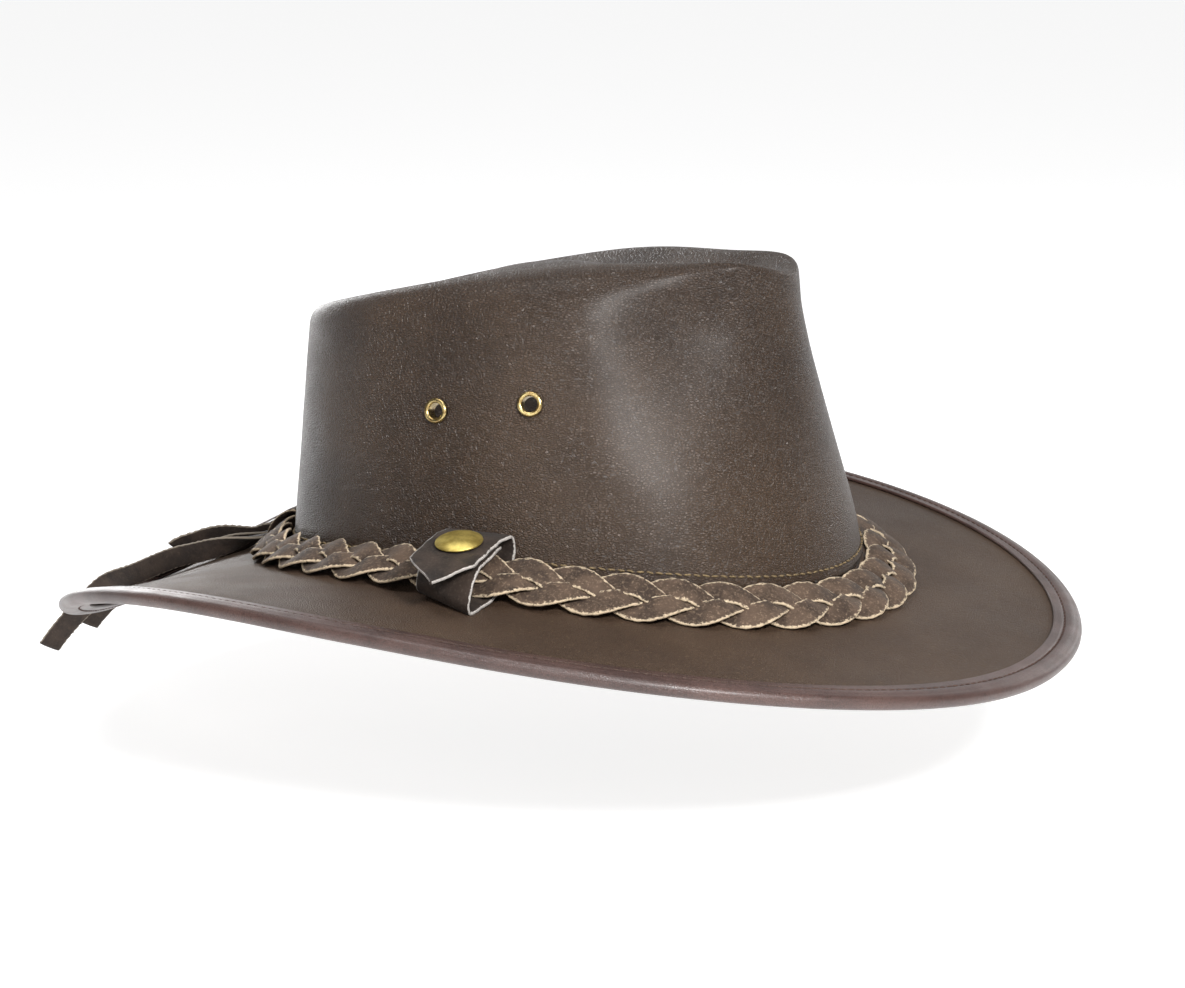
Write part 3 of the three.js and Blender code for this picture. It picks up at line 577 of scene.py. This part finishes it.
def crownMesh(c):
    # The inner face is the outer one moved in by the leather along its normals. Cells near an eyelet
    # are left out, the points round the gap are drawn to a circle, and walls join the two faces there
    outer, out = crownFace(c)
    level = out[:1] * [1, 1, 0]
    inner = outer - out * hat["leather"]
    inner[0] = outer[0] - unit(level)[0] * hat["leather"]
    rows, columns = outer.shape[:2]
    middle = (outer[:-1] + np.roll(outer, -1, axis=1)[:-1] + outer[1:] + np.roll(outer, -1, axis=1)[1:]) / 4
    gone = np.zeros((rows - 1, columns), bool)
    for centre, axis in eyeletSpots.values():
        flat = middle - centre
        flat = flat - (flat @ axis)[..., None] * axis
        gone |= (np.linalg.norm(flat, axis=-1) < c["holeRadius"]) & (
            np.linalg.norm(middle - centre, axis=-1) < c["holeDepth"])
    touching = np.zeros((rows, columns), int)
    for shiftRow in (0, 1):
        for shiftColumn in (0, 1):
            touching[shiftRow:rows - 1 + shiftRow] += np.roll(gone, shiftColumn, axis=1)
    border = (touching > 0) & (touching < 4)
    for centre, axis in eyeletSpots.values():
        for face in (outer, inner):
            near = border & (np.linalg.norm(face - centre, axis=-1) < c["holeDepth"] + 3)
            offset = face[near] - centre
            depth = (offset @ axis)[:, None] * axis
            face[near] = centre + depth + unit(offset - depth) * c["holeRadius"]
    rings = np.concatenate([outer[::-1], inner])
    total = len(rings)
    quads = gridFaces(total, columns, False, True).reshape(total - 1, columns, 4)
    keep = np.ones((total - 1, columns), bool)
    keep[:rows - 1] = ~gone[::-1]
    keep[rows:] = ~gone
    # Walls of the holes: each edge between a cell that is gone and one that stays, outer to inner
    walls = []
    top = gone[::-1]
    partner = lambda k: (2 * rows - 1 - k // columns) * columns + k % columns
    none = np.zeros((1, columns), bool)
    for a, b, kept in (
            (0, 1, ~np.vstack([none, top[:-1]])), (1, 2, ~np.roll(top, -1, axis=1)),
            (2, 3, ~np.vstack([top[1:], none])), (3, 0, ~np.roll(top, 1, axis=1))):
        cells = quads[:rows - 1][top & kept]
        walls.append(np.stack([cells[:, a], cells[:, b], partner(cells[:, b]), partner(cells[:, a])], -1))
    faces = np.concatenate([quads[keep], *walls])
    used = np.unique(faces)
    place = np.zeros(total * columns, int)
    place[used] = np.arange(len(used))
    points = rings.reshape(-1, 3)
    ends = [list(range(columns - 1, -1, -1)), list(range((total - 1) * columns, total * columns))]
    turned = not facingOut(points, faces)
    listed = [list(face) for face in faces] + ends
    listed = [[int(place[k]) for k in (face[::-1] if turned else face)] for face in listed]
    return meshObject("crownSkin", points[used], listed, [crownMaterial])


crownSkin = crownMesh(crownGrid)
finishPiece(crownSkin, "crown_leather", "crown")
print("crown made")


# Brim: the section's top line goes up inside the crown as a collar, round its lower edge and out
brimGrid = {
    "bearings": 360, "collarLines": 33, "brimLines": 51,
    "shares": (0.04, 0.08, 0.13, 0.2, 0.3, 0.4, 0.5, 0.6, 0.7, 0.8, 0.9),
}


def beside(curve, distance):
    # Moves section curves sideways by a distance: the normal is the tangent turned a quarter
    d = np.gradient(curve, axis=0)
    d = d / np.maximum(np.linalg.norm(d, axis=-1, keepdims=True), 1e-9)
    return np.stack([curve[..., 0] + d[..., 1] * distance, curve[..., 1] - d[..., 0] * distance], -1)


def brimMesh(c):
    # Each bearing's section is a smooth line through its rows and the same line moved by the leather
    t = np.arange(c["bearings"]) * turnFull / c["bearings"]
    base, _, _, reach = planeAt(t)
    until = reach - hat["bindingLeather"] - 2 * hat["gap"]
    tuck = hat["leather"] + 1.5 * hat["gap"]
    rows = [(wallOut(t, rise) - tuck, base[:, 2] + rise) for rise in (hat["collar"], hat["collar"] / 2, 0)]
    rows.append((np.full_like(t, -hat["leather"] / 2), brimTop(t, 0 * t) - hat["gap"]))
    rows += [(share * until, brimTop(t, share * until)) for share in c["shares"]]
    rows.append((until, brimTop(t, until)))
    line = np.array([np.stack(row, -1) for row in rows])
    marks = np.concatenate([[0], np.cumsum(np.linalg.norm(np.diff(line, axis=0), axis=-1).mean(axis=1))])
    at = np.concatenate([np.linspace(0, marks[6], c["collarLines"] + 1)[:-1],
                         np.linspace(marks[6], marks[-1], c["brimLines"])])
    top = throughRows(at, marks, line)
    loop = np.concatenate([top, beside(top, hat["leather"])[::-1]])
    rings = inPlane(t[None], loop[..., 0], loop[..., 1])
    return sweep("brimSkin", np.swapaxes(rings, 0, 1), True, [brimMaterial])


brimSkin = brimMesh(brimGrid)
finishPiece(brimSkin, "brim_leather", "brim")
print("brim made")


# Binding: a strip folded round the brim's edge, puffed between the edge and its stitches
binding = {
    "bearings": 400, "half": 2.5, "skin": 1.2, "width": 10.0, "row": 6.4, "puff": 0.35, "dip": 0.3,
    "dipWidth": 0.6, "settle": 0.15,
}


def bindingSection(b):
    # q is the distance in from the edge, h the height off the brim's middle: a half circle at the
    # edge, a low swell to the stitches, a narrow dip under them, and a rounded free edge
    turned = np.linspace(0, pi / 2, 9)
    arcQ, arcH = b["half"] * (1 - np.cos(turned)), b["half"] * np.sin(turned)
    q = np.linspace(b["half"], b["width"], 22)[1:]
    h = (b["half"] + b["puff"] * np.sin(np.clip((q - b["half"]) / (b["row"] - b["half"]), 0, 1) * pi)
         - b["dip"] * np.exp(-((q - b["row"]) / b["dipWidth"]) ** 2)
         - b["settle"] * ease(b["row"], b["width"], q))
    inner = b["half"] - b["skin"]
    free = np.array([(b["width"] + 0.1, b["half"] - 0.35), (b["width"] + 0.1, inner + 0.2)])
    backQ = np.array([b["width"], b["row"], b["half"]])
    innerQ = np.concatenate([backQ, b["half"] - inner * np.sin(np.linspace(0, pi / 2, 5)[1:])])
    innerH = np.concatenate([np.full(3, inner), inner * np.cos(np.linspace(0, pi / 2, 5)[1:])])
    upperQ = np.concatenate([arcQ, q, free[:, 0], innerQ])
    upperH = np.concatenate([arcH, h, free[:, 1], innerH])
    lowerQ, lowerH = upperQ[1:-1][::-1], -upperH[1:-1][::-1]
    return np.concatenate([upperQ, lowerQ]), np.concatenate([upperH, lowerH])


def overBrim(t, q, h):
    # Point at a distance in from the brim's edge and a height off the middle of its leather
    reach = planeAt(t)[3]
    out = reach - q
    up = brimTop(t, out)
    slope = (brimTop(t, out + 0.05) - brimTop(t, out - 0.05)) / 0.1
    run = np.sqrt(1 + slope ** 2)
    lift = h - hat["leather"] / 2
    return inPlane(t, out - slope / run * lift, up + lift / run)


def bindingMesh(b):
    # The section at equal bearings, each in its own upright plane
    t = np.arange(b["bearings"]) * turnFull / b["bearings"]
    q, h = bindingSection(b)
    return sweep("bindingStrip", overBrim(t[:, None], q[None], h[None]), True, [bindingMaterial])


bindingStrip = bindingMesh(binding)
finishPiece(bindingStrip, "binding_leather", "brim_binding")
print("binding made")


# Stitches: short rounded bars along a line of points, one mesh for each row
def stitchRow(name, points, normals, stitch, material):
    # Each bar's rings follow sin and cos of the way along it; its middle stands off the surface
    step = np.roll(points, -1, axis=0) - points
    length = np.linalg.norm(step, axis=1)
    total = np.concatenate([[0], np.cumsum(length)])
    count = int(total[-1] / stitch["pitch"])
    at = (np.arange(count) + 0.5) * total[-1] / count
    wrapped = np.concatenate([points, points[:1]])
    centre = np.stack([np.interp(at, total, wrapped[:, k]) for k in range(3)], -1)
    ahead = np.stack([np.interp(at, total, np.append(unit(step)[:, k], unit(step)[0, k]))
                      for k in range(3)], -1)
    off = np.stack([np.interp(at, total, np.append(normals[:, k], normals[0, k])) for k in range(3)], -1)
    ahead, off = unit(ahead), unit(off)
    side = np.cross(ahead, off)
    skew = 0.16 * np.sin(np.arange(count) * 2.4)[:, None]
    ahead = unit(ahead + side * (skew + stitch["slant"]))
    side = np.cross(ahead, off)
    u = np.linspace(-1, 1, 7)
    round6 = np.arange(6) * turnFull / 6
    width = stitch["width"] / 2 * np.sqrt(np.clip(1 - np.abs(u) ** 3 * 0.96, 0, 1))
    lift = stitch["lift"] * (1 - u ** 2)
    bars = (centre[:, None, None] + ahead[:, None, None] * (u * stitch["length"] / 2)[None, :, None, None]
            + side[:, None, None] * (width[:, None] * np.cos(round6))[None, ..., None]
            + off[:, None, None] * (lift[:, None] + width[:, None] * np.sin(round6))[None, ..., None])
    quads = gridFaces(7, 6, False, True)
    ends = [[5, 4, 3, 2, 1, 0], [36, 37, 38, 39, 40, 41]]
    if not facingOut(bars[0].reshape(-1, 3), quads):
        quads, ends = quads[:, ::-1], [end[::-1] for end in ends]
    faces = (quads[None] + np.arange(count)[:, None, None] * 42).reshape(-1, 4).tolist()
    faces += [[k + n * 42 for k in end] for n in range(count) for end in ends]
    obj = meshObject(name, bars.reshape(-1, 3), faces, [material])
    finishPiece(obj, stitch["slot"])
    return obj


brimStitch = {"pitch": 3.0, "length": 2.3, "width": 0.55, "lift": 0.12, "slant": 0.12, "sink": 0.15,
              "slot": "binding_leather"}
seamStitch = {"pitch": 3.1, "length": 2.5, "width": 0.75, "lift": 0.2, "slant": 0.1, "height": 3.6,
              "slot": "crown_leather"}
stitchPlaces = 1440


def makeStitches():
    # The brim's rows follow the binding's row on both faces, the crown's row a height over its seam
    t = np.arange(stitchPlaces) * turnFull / stitchPlaces
    inward = np.full_like(t, binding["row"])
    for name, h in (("brimStitches", 1), ("brimStitchesUnder", -1)):
        row = overBrim(t, inward, np.full_like(t, h * (binding["half"] - brimStitch["sink"])))
        above = overBrim(t, inward, np.full_like(t, h * (binding["half"] + 1)))
        stitchRow(name, row, unit(above - row), brimStitch, brimThread)
    base, ridge = seamPoint(t), ridgePoint(t)
    climb = seamStitch["height"] / (ridge[:, 2] - base[:, 2])
    line = wallPoint(t, climb)
    around = np.roll(line, -1, axis=0) - np.roll(line, 1, axis=0)
    rise = wallPoint(t, climb + 0.01) - wallPoint(t, climb - 0.01)
    out = unit(np.cross(around, rise))
    stitchRow("seamStitches", line + out * 0.1, out, seamStitch, seamThread)


makeStitches()
print("stitches made")


# Plait: three flat strands that cross over and under each other
band = {
    "width": (19, 19, 18.5, 17, 14.5), "tilt": (31, 30, 28, 27, 44), "repeats": 13, "strand": 8.8,
    "bulge": 0.13, "leather": 1.3, "rise": 1.45, "lift": 1.9, "steps": 72, "ragged": 0.34,
    "keeperPlace": 4.0, "keeperPush": 1.6, "spread": 0.3, "marks": 721,
}
keeperBearing = -math.acos(band["keeperPlace"] / hat["halfLength"])


def push(t, centre):
    # A flat-topped hump round a bearing: e to the minus fourth power of the angle over the spread
    apart = np.arctan2(np.sin(t - centre), np.cos(t - centre))
    return np.exp(-((apart / band["spread"]) ** 4))


def bandFrame(t):
    # Middle of the band, with the directions across it and out of it; it rests on the brim's top at
    # its lower edge and leans on the crown by the tilt table
    t = np.asarray(t, float)
    gap = hat["gap"]
    tilt = np.radians(evenCurve(band["tilt"], t))
    width = evenCurve(band["width"], t)
    away = planeAt(t)[2]
    across = away * np.cos(tilt)[..., None] - xyz(0, 0, np.sin(tilt))
    outwards = away * np.sin(tilt)[..., None] + xyz(0, 0, np.cos(tilt))
    lowerOut = gap * 2 + width * np.cos(tilt)
    lift = band["lift"] + band["keeperPush"] * push(t, keeperBearing)
    middle = (inPlane(t, lowerOut, brimTop(t, lowerOut)) - across * (width / 2)[..., None]
              + outwards * lift[..., None])
    return middle, across, outwards


bandMarks = np.linspace(0, turnFull, band["marks"])
bandSteps = np.linalg.norm(np.diff(bandFrame(bandMarks)[0], axis=0), axis=1)
bandLengths = np.concatenate([[0], np.cumsum(bandSteps)])


def bandAngle(share):
    # Bearing at a share of the band's length
    return np.interp(np.mod(share, 1) * bandLengths[-1], bandLengths, bandMarks)


def strandPoint(share, strand):
    # A figure of eight: across by cos of the phase, in and out by sin of twice the phase
    phase = turnFull * (share * band["repeats"] + strand / 3)
    t = bandAngle(share)
    middle, across, outwards = bandFrame(t)
    swing = (evenCurve(band["width"], t) - band["strand"]) / 2
    return (middle + across * (swing * np.cos(phase))[..., None]
            + outwards * (band["rise"] * np.sin(2 * phase))[..., None])


def strip(centre, across, face, width, thick, ragged, seed, length):
    # Section of a cut strap: gently domed top, squared edges that wander a little, flat underside.
    # The u of its map runs 0 to 1 across the top, and both edges stay near 0 and 1.
    u = np.array([0, 0.06, 0.2, 0.35, 0.5, 0.65, 0.8, 0.94, 1, 1, 0.94, 0.5, 0.06, 0])
    top = np.array([1] * 9 + [-1] * 5)
    dome = thick * 0.5 * (1 - 0.55 * (np.abs(2 * u - 1) ** 4)) * top
    edge = np.where(np.abs(u - 0.5) > 0.4, 1, 0.3) * ragged
    wander = ripple(length[:, None] * 1.9, u[None] * 40, seed, 1.7) * edge[None]
    side = (u[None] - 0.5) * np.asarray(width).reshape(-1, 1) + wander * np.sign(u[None] - 0.5)
    rings = centre[:, None] + across[:, None] * side[..., None] + face[:, None] * dome[None, :, None]
    uv = np.stack(np.broadcast_arrays(u[None], length[:, None] / 100), -1)
    return rings, uv


def strandMesh(strand):
    # The strap's section carried along the figure of eight, facing out as the band does
    steps = band["repeats"] * band["steps"]
    share = np.arange(steps) / steps
    centre = strandPoint(share, strand)
    tangent = unit(strandPoint(share + 0.1 / steps, strand) - strandPoint(share - 0.1 / steps, strand))
    outwards = bandFrame(bandAngle(share))[2]
    across = unit(np.cross(tangent, outwards))
    face = np.cross(across, tangent)
    length = share * bandLengths[-1]
    # The leather spreads where it turns back at the band's edges
    turning = np.cos(2 * turnFull * (share * band["repeats"] + strand / 3))
    width = band["strand"] * (1 + band["bulge"] * turning)
    rings, uv = strip(centre, across, face, width, band["leather"], band["ragged"], strand * 2.1, length)
    return sweep("braidStrand" + str(strand), rings, True, [braidMaterial], uv)


for number in (1, 2, 3):
    finishPiece(strandMesh(number), "braid_leather", "braid_strand_" + str(number))
print("braid made")


# Wrap: leather wound round the band at the back, with a groove between its turns
wrap = {"width": 26.0, "leather": 1.2, "turns": 3, "creaseShade": 0.55, "slackAcross": 1.0, "slackOut": 1.2,
        "around": 72, "along": 40}
wrapHalf = (band["width"][-1] / 2 + wrap["slackAcross"], band["rise"] + band["leather"] + wrap["slackOut"])


def wrapPoint(angle, extra, sideways):
    # Ellipse round the band's section at the back
    middle, across, outwards = bandFrame(np.array(pi))
    point = (middle + across * ((wrapHalf[0] + extra) * np.cos(angle))[..., None]
             + outwards * ((wrapHalf[1] + extra) * np.sin(angle))[..., None])
    point[..., 1] = sideways
    return point


def wrapMesh(w):
    # The ellipse carried across the band; its grooves follow the sine of the turns
    half = w["width"] / 2
    angle = np.arange(w["around"]) * turnFull / w["around"]
    x = np.linspace(-half, half, w["along"])
    ridge = np.abs(np.sin((x + half) / w["width"] * w["turns"] * pi)) ** 0.4
    outer = wrapPoint(angle[:, None], (w["leather"] - w["creaseShade"] * (1 - ridge))[None], x[None])
    inner = wrapPoint(angle[:, None], np.zeros((1, 2)), np.array([[half, -half]]))
    u = np.concatenate([np.mod((x + half) / w["width"] * w["turns"], 1), [0.5, 0.5]])
    uv = np.stack(np.broadcast_arrays(u[None], angle[:, None] / 3), -1)
    return sweep("braidWrap", np.concatenate([outer, inner], axis=1), True, [braidMaterial], uv)


finishPiece(wrapMesh(wrap), "braid_leather", "braid_wrap")


# Loose ends: each leaves the wrap and arches over the back of the brim
tail = {
    "width": 8.0, "leather": 1.5, "arch": 15.0, "overhang": 26.0, "start": 0.5, "spacing": 8.8,
    "steps": 90, "ragged": 0.25, "sink": (2.5, 2.0, 4.5), "twist": (1.35, 1.25, 1.2),
}
tailRoutes = (
    ((0.4, -1.1, 0.2, 0), (0.675, -0.9, 0.42, 0), (0.93, -0.6, 0.4, 0), (1.1, -0.4, 0.17, 0),
     (1.24, -0.3, 0, 0.3), (1.35, -0.2, 0, 0.68), (1.448, -0.1, 0, 1.06)),
    ((0.4, 0.05, 0.14, 0), (0.675, 0.3, 0.3, 0), (0.9, 0.55, 0.28, 0), (1.04, 0.7, 0.08, 0),
     (1.17, 0.8, 0, 0.3), (1.29, 0.85, 0, 0.74)),
    ((0.4, 1.3, 0.35, 0), (0.58, 1.5, 0.65, 0), (0.73, 1.6, 0.72, 0), (0.847, 1.7, 0.55, 0)),
)


def tailMesh(route, number):
    # Points: out as a share of the brim's back reach, sideways in widths, arch and hang as shares
    start = wrapPoint(np.array(tail["start"]), wrap["leather"] + 3 * hat["gap"],
                      (number - 1) * tail["spacing"])
    rows = np.array(route)
    over = np.minimum(rows[:, 0], 1) * hat["brimBack"]
    rise = (brimTop(np.full(len(rows), pi), over) + hat["bindingLeather"] + tail["leather"]
            + rows[:, 2] * tail["arch"] - rows[:, 3] * tail["overhang"])
    points = np.vstack([start, xyz(-hat["halfLength"] - rows[:, 0] * hat["brimBack"],
                                   rows[:, 1] * tail["width"], rise)])
    centre = alongPath(points, tail["steps"])
    way = np.linspace(0, 1, tail["steps"])
    centre[:, 2] -= tail["sink"][number] * ease(0.05, 0.3, way) * (1 - 0.7 * ease(0.75, 1, way))
    tangent = unit(np.gradient(centre, axis=0))
    across = unit(np.array([0, 1.0, 0]) - tangent * tangent[:, 1:2])
    twist = tail["twist"][number] * (ease(0, 0.25, way) - 0.35 * ease(0.7, 1, way))
    across = (across * np.cos(twist)[:, None]
              + np.cross(tangent, across) * np.sin(twist)[:, None])
    length = np.concatenate([[0], np.cumsum(np.linalg.norm(np.diff(centre, axis=0), axis=1))])
    rings, uv = strip(centre, across, np.cross(tangent, across), np.full(len(centre), tail["width"]),
                      tail["leather"], tail["ragged"], number + 0.4, length)
    return sweep("tailEnd" + str(number + 1), rings, False, [shadedTailMaterial], uv)


for number, route in enumerate(tailRoutes):
    finishPiece(tailMesh(route, number), "braid_leather", "tail_" + str(number + 1))
print("loose ends made")


# Keeper strap: the flap over the plait, down behind it, out under it and back up below the flap
keeper = {
    "width": 23.0, "leather": 1.8, "skin": 1.3, "place": 4.8, "reach": 43.0, "point": 15.0,
    "height": 21.0, "slope": 0.2, "steps": 260, "foldDrop": 3.0, "foldReach": 14.0, "skew": 9.0,
    "tipShift": 3.5, "tip": 0.03, "ragged": 0.25,
    "flapShares": (1, 0.82, 0.65, 0.48, 0.3, 0.12), "wallShares": (0.8, 0.62, 0.48),
    "brimShares": (0.07, 0.13, 0.21, 0.32, 0.44, 0.55), "lowShare": 0.62,
    "tuckedShares": (0.5, 0.42, 0.3, 0.2),
}


def keeperLine(k):
    # The route as out and up pairs, each a share of the flap's reach or of its fold's height
    gap, leatherWide = hat["gap"], k["leather"]
    clear = leatherWide / 2 + 2 * gap
    t = np.array(keeperBearing)
    seamUp = float(seamPoint(t)[2])
    onWall = lambda up: (float(wallOut(t, up - seamUp)) + clear, up)
    onBrim = lambda out: (out, float(brimTop(t, out)) + clear)
    flapUp = lambda out: k["height"] - k["slope"] * out
    flap = [(s * k["reach"], flapUp(s * k["reach"])) for s in k["flapShares"]]
    start = onWall(k["height"] - 2 * leatherWide)[0]
    fold = [(start + leatherWide, k["height"]), (start + leatherWide / 4, k["height"] - leatherWide * 0.7)]
    down = [onWall(s * k["height"]) for s in k["wallShares"]]
    under = [onBrim(s * k["reach"]) for s in k["brimShares"]]
    low = onBrim(k["reach"] * k["lowShare"])
    front = [(low[0] + a * leatherWide, low[1] + b * leatherWide)
             for a, b in ((0.6, 0.7), (0.8, 2.0), (-0.2, 4.0))]
    tucked = [(s * k["reach"], flapUp(s * k["reach"]) - leatherWide - gap) for s in k["tuckedShares"]]
    return np.array(flap + fold + down + under + [low] + front + tucked)


def keeperPoint(out, up, sideways):
    # Point at a distance out from the seam, a height and a distance along X from the strap's middle
    return xyz(keeper["place"] + sideways, float(seamPoint(np.array(keeperBearing))[1]) - out, up)


def keeperMesh(k):
    # A strap's section carried along the route; its width grows from the point by the length
    route = keeperLine(k)
    fine = alongPath(np.column_stack([route, np.zeros(len(route))]), k["steps"])[:, :2]
    d = unit(np.gradient(fine, axis=0))
    normal = np.stack([d[:, 1], -d[:, 0]], -1)
    length = np.concatenate([[0], np.cumsum(np.linalg.norm(np.diff(fine, axis=0), axis=1))])
    width = k["width"] * np.clip(length / k["point"], k["tip"], 1)
    u = np.array([0, 0.03, 0.12, 0.25, 0.4, 0.5, 0.6, 0.75, 0.88, 0.97, 1])
    u = np.concatenate([u, u[::-1]])
    side = np.repeat([1.0, -1.0], 11)
    thick = k["skin"] / 2 * (1 - 0.3 * np.abs(2 * u - 1) ** 8) * side
    wander = ripple(length[:, None] * 1.3, u[None] * 30, 0.7, 3.0) * k["ragged"] * (np.abs(u - 0.5) > 0.45)
    sideways = (u[None] - 0.5) * width[:, None] + wander * np.sign(u[None] - 0.5)
    sideways = sideways + k["tipShift"] * (1 - ease(0, k["point"], length))[:, None]
    spot = fine[:, None] + normal[:, None] * thick[None, :, None]
    # The fold at the crown sags, and the front fold's back end is drawn in, so it lies askew
    spot[..., 1] -= k["foldDrop"] * np.maximum(1 - spot[..., 0] / k["foldReach"], 0) ** 2 * (
        ease(0, 8, spot[..., 1]))
    lower = ease(k["reach"] * 0.9, k["reach"] * 1.25, length)[:, None] * ease(6, 24, spot[..., 0])
    drawn = k["skew"] * lower * (0.5 - u[None])
    spot[..., 0] -= drawn
    spot[..., 1] += drawn * 0.35
    rings = keeperPoint(spot[..., 0], spot[..., 1], sideways)
    uv = np.stack(np.broadcast_arrays(u[None], length[:, None] / 100), -1)
    return sweep("keeperStrap", rings, False, [strapMaterial], uv)


finishPiece(keeperMesh(keeper), "dark_leather", "keeper_strap")
print("keeper made")


# Snap cap and eyelets
cap = {"diameter": 15.6, "rise": 2.4, "rim": 0.75, "share": 0.37, "foot": 3.4, "footThick": 0.8, "post": 2.0}


def capProfile(c):
    # Foot, post and thin turned-down rim, then a dome: its height falls as the cube of the radius
    half = c["diameter"] / 2
    top = keeper["leather"] / 2 + hat["gap"]
    foot = -(keeper["leather"] + hat["gap"]) - top
    r = np.linspace(1, 0, 14) ** 0.8
    dome = [(half * 0.97 * v + 0.001, top + c["rim"] + (c["rise"] - c["rim"]) * (1 - v ** 3)) for v in r]
    return ([(0.001, foot - c["footThick"]), (c["foot"], foot - c["footThick"]), (c["foot"], foot),
             (c["post"], foot), (c["post"], top), (half - 0.5, top), (half - 0.1, top + 0.08),
             (half, top + 0.3), (half - 0.05, top + 0.55)] + dome)


def eyeletProfile(e):
    # A rolled rim outside, the barrel through the leather and a flat flange inside
    bore, rim = e["hole"] / 2, e["outer"] / 2
    seat = 1.7 * hat["gap"]
    inside = -hat["leather"] - seat
    roll = np.linspace(0, pi, 12)
    middle, half = (bore + rim) / 2, (rim - bore) / 2
    arc = [(middle + half * math.cos(a), seat + 0.12 + e["roll"] * math.sin(a)) for a in roll]
    flange, barrel = rim * 0.95, bore + e["wall"]
    return ([(bore, inside - e["wall"]), (flange, inside - e["wall"]), (flange, inside), (barrel, inside),
             (barrel, seat), (rim, seat)] + arc + [(bore, seat - 0.2)])


capOut = keeper["reach"] * cap["share"]
capSpot = keeperPoint(np.array(capOut), np.array(keeper["height"] - keeper["slope"] * capOut), 0)
finishPiece(lathe("snapCap", capProfile(cap), 64, capSpot, (0, -keeper["slope"], 1), capMaterial),
            "brass", "snap_cap")
for nodeName, (spot, axis) in eyeletSpots.items():
    parts = nodeName.split("_")
    pieceName = "eyelet" + parts[1].capitalize() + parts[2].capitalize()
    finishPiece(lathe(pieceName, eyeletProfile(eyelet), 48, spot, axis, eyeletMaterial, True), "brass",
                nodeName)
print("metal made")


# Floor, light and world
studio = {
    "floor": -0.078, "floorSize": 12.0, "paper": (0.6, 0.6, 0.6, 1), "paperRough": 0.9, "glow": 0.78,
    "behind": 0.66, "front": 0.1, "fadeFrom": -0.85, "fadeTo": -0.3,
    "lamps": (
        # place, target, width and height, power
        ((0.8, -0.74, 0.68), (0.05, -0.05, 0.06), (0.2, 0.18), 18.0),
        ((0.1, -1.2, 0.5), (0.0, 0.0, 0.03), (0.9, 0.5), 4.5),
        ((-0.05, -0.3, 1.1), (0.0, 0.0, 0.08), (0.8, 0.4), 6.0),
        ((-0.9, 0.75, 0.2), (0.0, 0.0, 0.03), (0.5, 0.4), 3.5),
        ((0.35, 1.2, 0.2), (0.0, 0.0, 0.03), (0.5, 0.3), 1.0),
    ),
}


def makeStudio(s):
    # The world is bright behind the hat and dim on the camera's side: its strength goes by the
    # direction's dot product with the way from the hat to the camera
    size = s["floorSize"] / 2
    mesh = bpy.data.meshes.new("floorPlane")
    mesh.from_pydata([(-size, -size, s["floor"]), (size, -size, s["floor"]), (size, size, s["floor"]),
                      (-size, size, s["floor"])], [], [(0, 1, 2, 3)])
    material, _, shader, _ = nodeTools("floorPaper")
    shader.inputs["Base Color"].default_value = s["paper"]
    shader.inputs["Roughness"].default_value = s["paperRough"]
    shader.inputs["Emission Color"].default_value = (1, 1, 1, 1)
    shader.inputs["Emission Strength"].default_value = s["glow"]
    mesh.materials.append(material)
    floor = bpy.data.objects.new("floorPlane", mesh)
    bpy.context.collection.objects.link(floor)
    world = bpy.data.worlds.new("studioWorld")
    world.use_nodes = True
    tree = world.node_tree
    ground = tree.nodes["Background"]
    ground.inputs["Color"].default_value = (1, 1, 1, 1)
    way = tree.nodes.new("ShaderNodeTexCoord")
    dot = tree.nodes.new("ShaderNodeVectorMath")
    dot.operation = "DOT_PRODUCT"
    a = math.radians(camera["azimuth"])
    dot.inputs[1].default_value = (math.sin(a), -math.cos(a), 0)
    fade = tree.nodes.new("ShaderNodeMapRange")
    fade.interpolation_type = "SMOOTHSTEP"
    for slotNumber, value in enumerate((s["fadeFrom"], s["fadeTo"], s["behind"], s["front"]), 1):
        fade.inputs[slotNumber].default_value = value
    tree.links.new(way.outputs["Generated"], dot.inputs[0])
    tree.links.new(dot.outputs["Value"], fade.inputs[0])
    tree.links.new(fade.outputs["Result"], ground.inputs["Strength"])
    bpy.context.scene.world = world
    for number, (place, target, shape, power) in enumerate(s["lamps"]):
        data = bpy.data.lights.new("lamp" + str(number + 1), "AREA")
        data.shape = "RECTANGLE"
        data.size, data.size_y = shape
        data.energy = power
        lamp = bpy.data.objects.new("lamp" + str(number + 1), data)
        lamp.location = place
        lamp.visible_camera = False
        lamp.rotation_euler = (Vector(target) - Vector(place)).to_track_quat("-Z", "Y").to_euler()
        bpy.context.collection.objects.link(lamp)


makeStudio(studio)
bpy.context.scene.view_settings.view_transform = "Standard"
print("studio made")
